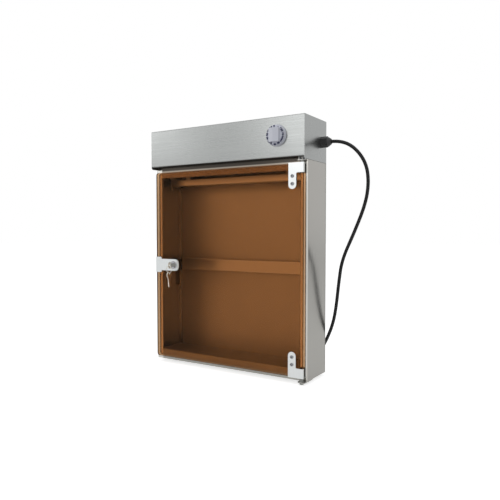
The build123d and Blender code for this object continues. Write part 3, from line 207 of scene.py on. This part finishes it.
print("white is", linear("#ffffff")[:3], "middle grey is", round(linear("#808080")[0], 3))

# %% [markdown]
# Stainless steel 1.4301, brushed. Rollers with grit drag fine parallel scratches along the
# sheet. They spread a reflection across the grain, and they make faint light and dark
# streaks. The scratches are about 0.1 mm apart, too fine to show at this distance, so the
# streaks are drawn 0.8 or 1.5 mm apart and 200 times as long. A slow cloud of fingerprints
# and cleaning marks varies the roughness on top.
# Steel shows what stands before it. Faces that point forwards, in the front half of the body,
# can carry a painted highlight, and faces that point down painted shade: a gain of their own
# on the colour, for a studio brighter in front and darker below than this one. A face counts
# when its normal is within 45 degrees of that way. The rail over the door also has painted
# shade, darker towards the space under the header. The back of the box is dull rolled sheet,
# and its floor is the same sheet in a darker tone.


# %% brushed steel
body_middle = sum(corner[1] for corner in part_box("left_side_panel")) / 2
X_GRAIN, Z_GRAIN = 0, 2
streak_length = 200
noise_low, noise_high = 0.3, 0.7
facing_limit = -0.7


def brushed_steel(name, hex_colour, grain, roughness, streak_mm=1.5, depth=0.06,
                  bump_strength=0.04, painted_front_highlight_gain=1.0, painted_under_shade_gain=1.0, shade=None):
    """Brushed sheet whose scratches run along the grain axis. The gains paint a highlight or shade
    on forward faces in the front half of the body and on faces that point down. A shade is
    painted shade: two heights in metres and the forward faces' gain above the second."""
    material, tree, output = new_material(name)
    place = add_node(tree, "ShaderNodeTexCoord")
    across = 1 / (streak_mm * MM)
    scale = [across, across, across]
    scale[grain] = across / streak_length
    stretched = add_node(tree, "ShaderNodeMapping",
                         {"Vector": (place, "Object"), "Scale": scale})
    streaks = add_node(tree, "ShaderNodeTexNoise",
                       {"Vector": (stretched, "Vector"), "Scale": 1.0, "Detail": 5.0,
                        "Roughness": 0.65})
    clouds = add_node(tree, "ShaderNodeTexNoise",
                      {"Vector": (place, "Object"), "Scale": 14.0, "Detail": 3.0})
    light = linear(hex_colour)
    tone = add_node(tree, "ShaderNodeMapRange",
                    {"Value": (streaks, "Fac"), "From Min": noise_low,
                     "From Max": noise_high, "To Min": 1 - depth, "To Max": 1 + depth})
    parts = add_node(tree, "ShaderNodeSeparateXYZ", {"Vector": (place, "Normal")})
    spot = add_node(tree, "ShaderNodeSeparateXYZ", {"Vector": (place, "Object")})
    forwards, under = [add_node(tree, "ShaderNodeMath", {0: (parts, axis), 1: facing_limit},
                                operation="LESS_THAN") for axis in "YZ"]
    ahead = add_node(tree, "ShaderNodeMath", {0: (spot, "Y"), 1: body_middle},
                     operation="LESS_THAN")
    front = add_node(tree, "ShaderNodeMath", {0: (forwards, "Value"), 1: (ahead, "Value")},
                     operation="MULTIPLY")
    # Painted light: forward faces are brightened, faces that point down are darkened, and the shade
    # darkens forward faces by height.
    changes = [(front, painted_front_highlight_gain - 1), (under, painted_under_shade_gain - 1)]
    if shade:
        low, high, shaded_gain = shade
        less = add_node(tree, "ShaderNodeMapRange",
                        {"Value": (spot, "Z"), "From Min": low, "From Max": high,
                         "To Min": 0.0, "To Max": shaded_gain - 1})
        changes.append((front, (less, "Result")))
    gain = tone, "Result"
    for faces, change in changes:
        factor = add_node(tree, "ShaderNodeMath", {0: (faces, "Value"), 1: change, 2: 1.0},
                          operation="MULTIPLY_ADD")
        gain = add_node(tree, "ShaderNodeMath", {0: gain, 1: (factor, "Value")},
                        operation="MULTIPLY"), "Value"
    colour = add_node(tree, "ShaderNodeVectorMath", {0: light[:3], "Scale": gain},
                      operation="SCALE")
    rough_streak = add_node(tree, "ShaderNodeMapRange",
                            {"Value": (streaks, "Fac"), "From Min": noise_low,
                             "From Max": noise_high, "To Min": roughness - 0.05,
                             "To Max": roughness + 0.05})
    rough = add_node(tree, "ShaderNodeMath",
                     {0: (clouds, "Fac"), 1: 0.10, 2: (rough_streak, "Result")},
                     operation="MULTIPLY_ADD")
    bump = add_node(tree, "ShaderNodeBump",
                    {"Height": (streaks, "Fac"), "Strength": bump_strength,
                     "Distance": 0.0002})
    shader = add_node(tree, "ShaderNodeBsdfPrincipled",
                      {"Base Color": (colour, "Vector"), "Metallic": 1.0,
                       "Roughness": (rough, "Value"), "Normal": (bump, "Normal")})
    tree.links.new(shader.outputs["BSDF"], output.inputs["Surface"])
    return material


# Painted shade on the header's faces that point down, at half brightness.
header_steel = brushed_steel("brushed_stainless_header", "#999b9a", X_GRAIN, roughness=0.24,
                             depth=0.015, bump_strength=0.02, painted_under_shade_gain=0.5)
# Painted highlight on the body's forward faces, its front flanges, at 1.8 times.
body_steel = brushed_steel("brushed_stainless_body", "#9f9d98", Z_GRAIN, roughness=0.15,
                           depth=0.03, painted_front_highlight_gain=1.8)
liner_steel = brushed_steel("dull_rolled_stainless", "#b3b2ad", X_GRAIN, roughness=0.42,
                            depth=0.03)
plate_steel = brushed_steel("satin_stainless_plate", "#dcdfdf", Z_GRAIN, roughness=0.28,
                            streak_mm=0.8, depth=0.03)
bracket_steel = brushed_steel("stainless_bracket", "#a09f9b", Z_GRAIN, roughness=0.25,
                              streak_mm=0.8, depth=0.03)
# The floor sheet is a darker tone than the back's.
floor_steel = brushed_steel("darker_rolled_stainless", "#a2a19b", X_GRAIN, roughness=0.42,
                            depth=0.03)
door_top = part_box("door_panel")[1][2]
open_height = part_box("header_cover")[0][2] - door_top
print("gap between door and header in mm:", round(open_height / MM, 1))
# Painted shade on the rail's front face, darker towards the header above it; the rail's colour,
# darker and browner than the body steel, is also painted shade with a painted reflection of the
# amber door.
rail_shade = (door_top + 0.45 * open_height, door_top + 0.6 * open_height, 0.18)
rail_steel = brushed_steel("polished_stainless_rail", "#968d83", X_GRAIN, roughness=0.12,
                           depth=0.03, shade=rail_shade)
rack_steel = brushed_steel("brushed_stainless_rack", "#c8c8c4", X_GRAIN, roughness=0.3)
print("brushed steels:", header_steel.name, body_steel.name, plate_steel.name)

# %% [markdown]
# The door is cast acrylic, tinted amber because that colour stops ultraviolet light and
# lets the eye see in. Its faces are as glossy as glass. Cast acrylic has an index of 1.49.
# Here it is 1.12, because the picture shows next to nothing mirrored in the door, and the
# white studio would turn it milky. Light that reaches the steel behind it and comes back has
# crossed the sheet twice, so the tint of one crossing is the square root of what the picture
# shows. Lamps would stop at a glass shader, so rays that ask whether a lamp is in sight pass
# straight through, and each of the two faces takes its share of the tint. The narrow sides
# of the sheet are sawn, not polished, and scatter the light: there the normal lies in the
# sheet's plane, so its depth part is near 0.


# %% tinted acrylic
AMBER = "#d5ae88"
sawn_limit = 0.5


def tinted_acrylic(name, hex_once, roughness=0.03, ior=1.49, sawn_and_shaded_hex=None):
    """Clear sheet whose colour is what one crossing of it leaves of white light."""
    material, tree, output = new_material(name)
    once = linear(hex_once)
    per_face = tuple(math.sqrt(value) for value in once[:3]) + (1.0,)
    glass = add_node(tree, "ShaderNodeBsdfPrincipled",
                     {"Base Color": once, "Roughness": roughness, "IOR": ior,
                      "Transmission Weight": 1.0})
    clear = add_node(tree, "ShaderNodeBsdfTransparent", {"Color": per_face})
    ray = add_node(tree, "ShaderNodeLightPath")
    mix = add_node(tree, "ShaderNodeMixShader",
                   {"Fac": (ray, "Is Shadow Ray"), 1: (glass, "BSDF"), 2: (clear, "BSDF")})
    # The sawn sides are rough, and painted dark brown: painted shade along the door's edge.
    if sawn_and_shaded_hex:
        place = add_node(tree, "ShaderNodeTexCoord")
        parts = add_node(tree, "ShaderNodeSeparateXYZ", {"Vector": (place, "Normal")})
        depth = add_node(tree, "ShaderNodeMath", {0: (parts, "Y")}, operation="ABSOLUTE")
        edge = add_node(tree, "ShaderNodeMath", {0: (depth, "Value"), 1: sawn_limit},
                        operation="LESS_THAN")
        sawn_and_shaded_edge = add_node(tree, "ShaderNodeBsdfPrincipled",
                        {"Base Color": linear(sawn_and_shaded_hex), "Roughness": 0.55, "IOR": ior})
        mix = add_node(tree, "ShaderNodeMixShader",
                       {"Fac": (edge, "Value"), 1: (mix, "Shader"), 2: (sawn_and_shaded_edge, "BSDF")})
    tree.links.new(mix.outputs["Shader"], output.inputs["Surface"])
    return material


# Dark brown sawn sides of the door: painted shade.
amber_acrylic = tinted_acrylic("amber_cast_acrylic", AMBER, ior=1.12, sawn_and_shaded_hex="#6b4526")
lamp_glass = tinted_acrylic("quartz_lamp_glass", "#f4f6fa", roughness=0.05)
print("amber sheet passes", [round(value, 2) for value in linear(AMBER)[:3]])

# %% [markdown]
# Small hardware is plated: bright nickel, zinc or chrome over steel or brass. Plating is
# smooth metal with a faint orange peel from the polishing drum. The pivots are plain turned
# steel. The lock's cam and its screw are dull, and dark as painted shade round the lock.
# Moulded plastic and rubber have a thin skin that copies the mould: spark eroded on the
# timer's knob, coarser on rubber. The bump's scale is the size of that grain.


# %% plated metal, plastic and rubber
def plated_metal(name, hex_colour, roughness, grain_mm=0.6):
    """Plated or polished metal with a faint orange peel of the given grain."""
    material, tree, output = new_material(name)
    place = add_node(tree, "ShaderNodeTexCoord")
    peel = add_node(tree, "ShaderNodeTexNoise",
                    {"Vector": (place, "Object"), "Scale": 1 / (grain_mm * MM), "Detail": 2.0})
    rough = add_node(tree, "ShaderNodeMapRange",
                     {"Value": (peel, "Fac"), "To Min": roughness - 0.06,
                      "To Max": roughness + 0.08})
    bump = add_node(tree, "ShaderNodeBump",
                    {"Height": (peel, "Fac"), "Strength": 0.12, "Distance": 0.0001})
    shader = add_node(tree, "ShaderNodeBsdfPrincipled",
                      {"Base Color": linear(hex_colour), "Metallic": 1.0,
                       "Roughness": (rough, "Result"), "Normal": (bump, "Normal")})
    tree.links.new(shader.outputs["BSDF"], output.inputs["Surface"])
    return material


def moulded(name, hex_colour, roughness, grain_mm=0.5, depth_mm=0.05, change=0.05,
            ior=1.5):
    """Moulded plastic or rubber: a skin grain, and a slow change of tone."""
    material, tree, output = new_material(name)
    place = add_node(tree, "ShaderNodeTexCoord")
    grain = add_node(tree, "ShaderNodeTexNoise",
                     {"Vector": (place, "Object"), "Scale": 1 / (grain_mm * MM), "Detail": 3.0})
    tone = add_node(tree, "ShaderNodeTexNoise",
                    {"Vector": (place, "Object"), "Scale": 40.0, "Detail": 2.0})
    factor = add_node(tree, "ShaderNodeMapRange",
                      {"Value": (tone, "Fac"), "To Min": 1 - change, "To Max": 1 + change})
    colour = add_node(tree, "ShaderNodeVectorMath",
                      {0: linear(hex_colour)[:3], "Scale": (factor, "Result")},
                      operation="SCALE")
    rough = add_node(tree, "ShaderNodeMapRange",
                     {"Value": (grain, "Fac"), "To Min": roughness - 0.08,
                      "To Max": roughness + 0.08})
    bump = add_node(tree, "ShaderNodeBump",
                    {"Height": (grain, "Fac"), "Strength": 0.3, "Distance": depth_mm * MM})
    shader = add_node(tree, "ShaderNodeBsdfPrincipled",
                      {"Base Color": (colour, "Vector"), "Roughness": (rough, "Result"),
                       "IOR": ior, "Normal": (bump, "Normal")})
    tree.links.new(shader.outputs["BSDF"], output.inputs["Surface"])
    return material


bright_zinc = plated_metal("bright_zinc_plate", "#939598", roughness=0.2)
turned_steel = plated_metal("turned_pivot_steel", "#7f807c", roughness=0.3)
bright_chrome = plated_metal("polished_chrome", "#a5a6a9", roughness=0.12)
nickel = plated_metal("nickel_plated_brass", "#cfccc2", roughness=0.2)
# Painted shade: the lock's cam and its screw are made dark so they sink into the shade round the
# lock.
cam_painted_shade_steel = plated_metal("cam_steel_painted_dark", "#3b3a39", roughness=0.4)
drawn_aluminium = plated_metal("drawn_aluminium", "#c8c9ca", roughness=0.3)
cord_rubber = moulded("extruded_cord_rubber", "#0b0b0c", roughness=0.5, grain_mm=0.4,
                      depth_mm=0.004, ior=1.35)
foot_rubber = moulded("moulded_foot_rubber", "#161616", roughness=0.6, grain_mm=0.4)
gland_nylon = moulded("moulded_polyamide", "#262627", roughness=0.4)
lock_nylon = moulded("black_lock_case", "#1d1c1b", roughness=0.5)
white_abs = moulded("white_moulded_abs", "#d6d8e2", roughness=0.35, change=0.02)
cream_bakelite = moulded("cream_moulded_plastic", "#dcd9cc", roughness=0.4)
ferrite = moulded("sintered_ferrite", "#2a2a2c", roughness=0.7, grain_mm=0.3)
choke_varnish = moulded("varnished_laminations", "#9b9ea2", roughness=0.45, grain_mm=0.5)
wire_pvc = moulded("extruded_wire_pvc", "#2b4a86", roughness=0.35)
strap = moulded("woven_strap", "#151515", roughness=0.8, grain_mm=0.7, depth_mm=0.2)
print("small finishes:", len(bpy.data.materials))

# %% [markdown]
# Each node of the cabinet now gets its finish. A node keeps its own mesh: only its material
# slot changes.

# %% dress the nodes
finishes = {
    header_steel: ["header_cover"],
    body_steel: ["left_side_panel", "right_side_panel"],
    liner_steel: ["back_panel"],
    floor_steel: ["floor_panel"],
    rail_steel: ["top_rail_and_shelf"],
    plate_steel: ["upper_hinge_plate", "lower_hinge_plate", "lock_keeper_plate",
                  "hinge_backing_plates"],
    bracket_steel: ["upper_hinge_bracket", "lower_hinge_bracket"],
    rack_steel: ["rack_channel", "rack_back_strip", "rack_spacers", "lamp_shield",
                 "shield_hangers"],
    amber_acrylic: ["door_panel"],
    lamp_glass: ["lamp_tube"],
    bright_zinc: ["m3_screws", "m4_short_screws", "m4_long_screws", "hinge_plate_screws",
                  "hinge_plate_nuts", "lower_bracket_nuts", "timer_shaft"],
    turned_steel: ["lower_pivot_bolt", "lower_pivot_nut", "lower_pivot_washer",
                   "upper_pivot_pin"],
    cam_painted_shade_steel: ["lock_cam", "cam_screw"],
    bright_chrome: ["lock_barrel", "lock_nut", "lock_plug"],
    nickel: ["lock_key", "key_ring", "spare_key", "plug_pins"],
    drawn_aluminium: ["lamp_end_caps", "starter"],
    foot_rubber: ["rubber_feet", "wire_grommets"],
    gland_nylon: ["gland_body", "gland_nut", "gland_locknut"],
    lock_nylon: ["lock_case"],
    white_abs: ["timer_knob", "lamp_holders", "starter_socket"],
    cream_bakelite: ["timer_body", "terminal_block"],
    ferrite: ["rack_magnets"],
    choke_varnish: ["ballast_choke"],
    wire_pvc: ["internal_wires"],
    strap: ["coil_tie"],
    cord_rubber: ["plug_body", "power_cord", "cord_coil", "cord_tail"],
}


def dress(piece, material):
    """Gives a piece one material in place of all it had."""
    piece.data.materials.clear()
    piece.data.materials.append(material)


dressed = set()
for material, names in finishes.items():
    for name in names:
        dress(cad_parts[name], material)
        dressed.add(name)
dress(lead, cord_rubber)
print("dressed", len(dressed), "left plain:", sorted(set(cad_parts) - dressed))

# %% [markdown]
# The drawing's screws have plain heads and shanks. A real pan head is a low dome with a cross
# recess for the driver, and its shank carries a thread. Both are surfaces of two parameters.
# On the head they are the distance from the axis and the turn round it, on the shank the
# way along it and the turn. Each new screw takes its place, size and direction from the solid
# that it stands for, so all of them sit where the drawing put them.


# %% solids of a node
micron = 0.001


def node_points(name):
    """Corner points of a node's mesh and its triangles, with equal points merged."""
    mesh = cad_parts[name].data
    points = np.empty(len(mesh.vertices) * 3)
    mesh.vertices.foreach_get("co", points)
    mesh.calc_loop_triangles()
    corners = np.empty(len(mesh.loop_triangles) * 3, dtype=int)
    mesh.loop_triangles.foreach_get("vertices", corners)
    whole = np.round(points.reshape(-1, 3) / (micron * MM)).astype(int)
    merged, index = np.unique(whole, axis=0, return_inverse=True)
    return merged * micron * MM, index.reshape(-1)[corners].reshape(-1, 3)


def separate_solids(name):
    """Point sets of the solids in a node. Each point takes the lowest number among the
    triangles that share it, until nothing changes: one number is then one solid."""
    points, triangles = node_points(name)
    label = np.arange(len(points))
    while True:
        lowest = label[triangles].min(axis=1)
        spread = label.copy()
        for corner in range(3):
            np.minimum.at(spread, triangles[:, corner], lowest)
        if (spread == label).all():
            return [points[label == number] for number in np.unique(label)]
        label = spread


def screw_frame(points):
    """Seat of a screw's head, direction out of it, head and shank radius, head height and
    length. The head is as wide in one direction as in the other, so the axis is the third."""
    low, high = points.min(axis=0), points.max(axis=0)
    spans = high - low
    axis = min(range(3), key=lambda k: abs(spans[k - 1] - spans[k - 2]))
    centre = (low + high) / 2
    across = np.delete(points - centre, axis, axis=1)
    distance = np.linalg.norm(across, axis=1)
    head = distance.max()
    at_rim = distance > 0.99 * head
    rim = points[at_rim][:, axis]
    outward = 1.0 if rim.mean() > centre[axis] else -1.0
    seat = rim.min() if outward > 0 else rim.max()
    top = high[axis] if outward > 0 else low[axis]
    tip = low[axis] if outward > 0 else high[axis]
    just_behind = -0.1 * MM
    behind = (points[:, axis] - seat) * outward < just_behind
    shank = distance[behind].max()
    centre[axis] = seat
    direction = np.zeros(3)
    direction[axis] = outward
    return centre, direction, head, shank, abs(top - seat), abs(seat - tip)


print("solids in m3_screws:", len(separate_solids("m3_screws")))


# %% screw surfaces
def closed_rows(rows, around, start):
    """Faces of a closed turned shape: a point, rings of points, and a point."""
    ring = start + 1 + np.arange(rows)[:, None] * around + np.arange(around)
    after = np.roll(ring, -1, axis=1)
    sides = np.stack([ring[:-1], after[:-1], after[1:], ring[1:]], axis=-1).reshape(-1, 4)
    first = np.stack([np.full(around, start), after[0], ring[0]], axis=-1)
    last = np.stack([np.full(around, ring[-1, -1] + 1), ring[-1], after[-1]], axis=-1)
    return sides.tolist() + first.tolist() + last.tolist()


def pan_head_screw(head, shank, height, length, around=48):
    """Points of a screw along +Z with its seat at 0: the dome falls from the height with the
    fourth power of the distance from the axis, less a cross-shaped pit with sloping walls,
    and the thread is a wave that climbs one pitch a turn."""
    turn = np.arange(around) * 2 * np.pi / around
    head_rings, innermost = 22, 0.04
    distance = head * np.linspace(innermost, 1.0, head_rings)[:, None]
    x, y = distance * np.cos(turn), distance * np.sin(turn)
    arm, half, wall = 0.58 * head, 0.13 * head, 0.12 * head
    pit_depth, rim_drop = 0.62 * height, 0.55
    outside = np.minimum(np.maximum(np.abs(x) - arm, np.abs(y) - half),
                         np.maximum(np.abs(y) - arm, np.abs(x) - half))
    pit = pit_depth * np.clip(0.5 - outside / wall, 0, 1)
    pit = pit * (distance < 0.8 * head)
    top = height * (1 - rim_drop * (distance / head) ** 4) - pit
    crown = np.stack([x, y, top], axis=-1)
    neck = head * np.array([1.0, 0.97])[:, None, None]
    drop = np.array([0.04, 0.0])[:, None] * height
    ring = np.stack([np.cos(turn), np.sin(turn)], axis=-1)
    under = np.concatenate([neck * ring, np.broadcast_to(drop[:, :, None],
                                                         (2, around, 1))], axis=-1)
    pitch, rings_per_pitch = 0.5 * MM, 4
    along = np.linspace(0, length, rings_per_pitch * int(length / pitch) + 2)[:, None]
    depth = np.minimum(0.14 * shank, 0.35 * MM) * np.clip(along / pitch, 0, 1)
    wave = 0.5 - 0.5 * np.cos(2 * np.pi * along / pitch - turn)
    radius = (shank - depth * wave) * np.clip((length - along) / pitch + 0.72, 0, 1)
    thread = np.stack([radius * np.cos(turn), radius * np.sin(turn),
                       np.broadcast_to(-along, radius.shape)], axis=-1)
    rings = np.concatenate([crown, under, thread])
    first = np.array([[0, 0, height - pit_depth]])
    last = np.array([[0, 0, -length]])
    points = np.concatenate([first, rings.reshape(-1, 3), last])
    return points, len(rings), around


def detailed_screws(name, node):
    """One mesh with a detailed screw for each solid of a node."""
    points, faces = [], []
    for solid in separate_solids(node):
        seat, direction, head, shank, height, length = screw_frame(solid)
        local, rows, around = pan_head_screw(head, shank, height, length)
        faces += closed_rows(rows, around, sum(len(part) for part in points))
        side = np.roll(direction, 1)
        other = np.cross(direction, side)
        points.append(seat + local @ np.stack([side, other, direction]))
    mesh = bpy.data.meshes.new(name)
    mesh.from_pydata(np.concatenate(points).tolist(), [], faces)
    mesh.update()
    for polygon in mesh.polygons:
        polygon.use_smooth = True
    piece = bpy.data.objects.new(name, mesh)
    bpy.context.scene.collection.objects.link(piece)
    return piece


screw_nodes = {
    "m3_screws": "cabinet", "m4_short_screws": "cabinet", "m4_long_screws": "cabinet",
    "hinge_plate_screws": "door",
}
for node, body in screw_nodes.items():
    screws = detailed_screws("detailed_" + node, node)
    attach(screws, body)
    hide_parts(node)
    dress(screws, bright_zinc)
    print(screws.name, "faces:", len(screws.data.polygons))

# %% [markdown]
# The timer's scale is pad printed in navy on the face of the knob, and turns with it: bold
# numbers of minutes from 0 to 120, and a dot in the middle of the gap between the last and
# the first. The knob turns 300 degrees clockwise for 120 minutes, so each ten minutes take
# 25 degrees and the numbers grow anticlockwise.
# Numbers on a dial are generic, so they can be drawn. Ink is a film, so the print is a thin
# plate that stands 0.05 mm proud. The numbers come from Blender's own font: text is made a
# mesh first, then its points are laid on the knob's face.

# %% dial marks
knob_low, knob_high = (np.array(corner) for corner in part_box("timer_knob"))
knob_middle = (knob_low + knob_high) / 2
knob_skirt = 9.0
face_y = knob_high[1] - knob_skirt * MM
number_radius, number_height, ink = 21.4 * MM, 4.6 * MM, 0.05 * MM
digit_stretch, capital_share = 1.12, 0.72
first_angle, angle_step = math.radians(-6), math.radians(-25)
gap_middle = first_angle - 1.2 * angle_step
dot_corners, dot_radius = 12, 1.2 * MM
minutes = [str(ten) for ten in range(0, 130, 10)]


def on_face(across, up, proud):
    """Points on the knob's face from distances across, up and proud of it."""
    return np.stack([knob_middle[0] + across, face_y - proud + np.zeros_like(across),
                     knob_middle[2] + up], axis=-1)


def dot(angle):
    """Round plate on the numbers' circle: points of two rings, and faces."""
    back = np.arange(dot_corners)
    turn = back * math.tau / dot_corners
    x = np.tile(number_radius * math.sin(angle) + dot_radius * np.sin(turn), 2)
    z = np.tile(number_radius * math.cos(angle) + dot_radius * np.cos(turn), 2)
    after, front = np.roll(back, -1), back + dot_corners
    sides = np.stack([back, after, after + dot_corners, front], axis=-1)
    faces = [tuple(back[::-1]), tuple(front)] + [tuple(row) for row in sides]
    return on_face(x, z, np.repeat([-ink, ink], dot_corners)), faces


def number(text, angle):
    """Solid bold digits with their feet towards the axis, as points on the face and faces."""
    curve = bpy.data.curves.new("number", "FONT")
    curve.body = text
    curve.size = number_height / capital_share
    curve.align_x = "CENTER"
    curve.align_y = "CENTER"
    curve.extrude = ink
    curve.offset = 0.5 * MM
    curve.space_character = 1.05
    text_object = bpy.data.objects.new("number", curve)
    mesh = bpy.data.meshes.new_from_object(text_object)
    local = np.empty(len(mesh.vertices) * 3)
    mesh.vertices.foreach_get("co", local)
    local = local.reshape(-1, 3)
    faces = [tuple(polygon.vertices) for polygon in mesh.polygons]
    bpy.data.objects.remove(text_object)
    bpy.data.curves.remove(curve)
    bpy.data.meshes.remove(mesh)
    turn = angle + local[:, 0] * digit_stretch / number_radius
    up = local[:, 1] + number_radius
    x, z = up * np.sin(turn), up * np.cos(turn)
    return on_face(x, z, local[:, 2]), faces


mark_points, mark_faces = [], []
numbers = [number(text, first_angle + step * angle_step) for step, text in enumerate(minutes)]
for points, faces in numbers + [dot(gap_middle)]:
    start = sum(len(part) for part in mark_points)
    mark_points.append(points)
    mark_faces += [tuple(start + int(corner) for corner in face) for face in faces]
mesh = bpy.data.meshes.new("dial_marks")
mesh.from_pydata(np.concatenate(mark_points).tolist(), [], mark_faces)
mesh.update()
dial_marks = bpy.data.objects.new("dial_marks", mesh)
bpy.context.scene.collection.objects.link(dial_marks)
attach(dial_marks, "timer_knob")
navy_ink = moulded("navy_pad_print", "#0b0d42", roughness=0.6, grain_mm=0.3, depth_mm=0.005,
                   ior=1.3)
dress(dial_marks, navy_ink)
print("dial marks:", len(mark_faces), "faces")

# %% [markdown]
# A plain studio: a pale floor that runs far past the cabinet, and a white world. Both are
# plain white to the camera and through glass, and pale grey as a light, so the background is
# white while the cabinet isn't washed out and keeps its shadow. A reflection sees the world
# white and the floor a shade darker, so steel falls off towards the floor. The floor's own
# glow and the light that falls on it add up to white.
# Two soft lamps stand in front at the height of the header, which mirrors them near its two
# ends, and too high for the door to mirror them. A wide one hangs above.


# %% floor and world
def grid_mesh(name, points):
    """Mesh from a grid of points with shape (rows, columns, 3): each cell is a four-sided face."""
    rows, columns = points.shape[:2]
    index = np.arange(rows * columns).reshape(rows, columns)
    faces = np.stack([index[:-1, :-1], index[:-1, 1:], index[1:, 1:], index[1:, :-1]], axis=-1)
    mesh = bpy.data.meshes.new(name)
    mesh.from_pydata(points.reshape(-1, 3).tolist(), [], faces.reshape(-1, 4).tolist())
    mesh.update()
    piece = bpy.data.objects.new(name, mesh)
    bpy.context.scene.collection.objects.link(piece)
    return piece


def seen_ray(tree, mirrored=1.0):
    """1 for rays from the camera or a view through glass, mirrored for a reflection, else 0."""
    ray = add_node(tree, "ShaderNodeLightPath")
    mirror = add_node(tree, "ShaderNodeMath", {0: (ray, "Is Glossy Ray"), 1: mirrored},
                      operation="MULTIPLY")
    either = add_node(tree, "ShaderNodeMath",
                      {0: (ray, "Is Camera Ray"), 1: (mirror, "Value")},
                      operation="MAXIMUM")
    return add_node(tree, "ShaderNodeMath",
                    {0: (either, "Value"), 1: (ray, "Is Transmission Ray")},
                    operation="MAXIMUM")


floor_half, floor_lines = 12.0, 9
floor_glow, floor_mirrored, world_light = 0.7, 0.65, 0.55
side = np.linspace(-floor_half, floor_half, floor_lines)
floor_points = np.stack([*np.meshgrid(side, side), np.zeros((floor_lines, floor_lines))], axis=-1)
floor = grid_mesh("studio_floor", floor_points)
floor_finish, tree, output = new_material("matt_floor_paint")
plain_view = seen_ray(tree, mirrored=floor_mirrored)
glow = add_node(tree, "ShaderNodeMath", {0: (plain_view, "Value"), 1: floor_glow},
                operation="MULTIPLY")
paint = add_node(tree, "ShaderNodeBsdfPrincipled",
                 {"Base Color": linear("#e6e6e5"), "Roughness": 0.9,
                  "Specular IOR Level": 0.0, "Emission Color": (1, 1, 1, 1),
                  "Emission Strength": (glow, "Value")})
tree.links.new(paint.outputs["BSDF"], output.inputs["Surface"])
dress(floor, floor_finish)

world = bpy.data.worlds.new("white_studio")
bpy.context.scene.world = world
world.use_nodes = True
tree = world.node_tree
tree.nodes.clear()
output = tree.nodes.new("ShaderNodeOutputWorld")
plain_view = seen_ray(tree)
seen = add_node(tree, "ShaderNodeBackground", {"Color": (1, 1, 1, 1), "Strength": 1.0})
lighting = add_node(tree, "ShaderNodeBackground",
                    {"Color": linear("#f4f5f7"), "Strength": world_light})
mix = add_node(tree, "ShaderNodeMixShader",
               {"Fac": (plain_view, "Value"), 1: (lighting, "Background"),
                2: (seen, "Background")})
tree.links.new(mix.outputs["Shader"], output.inputs["Surface"])
print("floor of", 2 * floor_half, "m")


# %% lamps
def soft_lamp(name, place, target, width, height, power):
    """White area lamp at a place, in metres, that faces a target. Power is in watts."""
    data = bpy.data.lights.new(name, "AREA")
    data.shape = "RECTANGLE"
    data.size = width
    data.size_y = height
    data.energy = power
    lamp = bpy.data.objects.new(name, data)
    lamp.location = place
    lamp.rotation_euler = (Vector(target) - Vector(place)).to_track_quat("-Z", "Y").to_euler()
    bpy.context.scene.collection.objects.link(lamp)
    return lamp


soft_lamp("left_softbox", (-1.39, -1.16, 1.02), at(-237, 126, 700), 0.6, 0.5, 1.5)
soft_lamp("front_softbox", (-0.36, -1.53, 1.02), at(237, 126, 700), 0.6, 0.5, 1.8)
soft_lamp("top_softbox", (0.2, -0.6, 2.6), at(0, 60, 320), 1.6, 1.6, 10)
print("lamps:", [light.name for light in bpy.data.lights])

# %% finish
bpy.context.scene.view_settings.view_transform = "Standard"
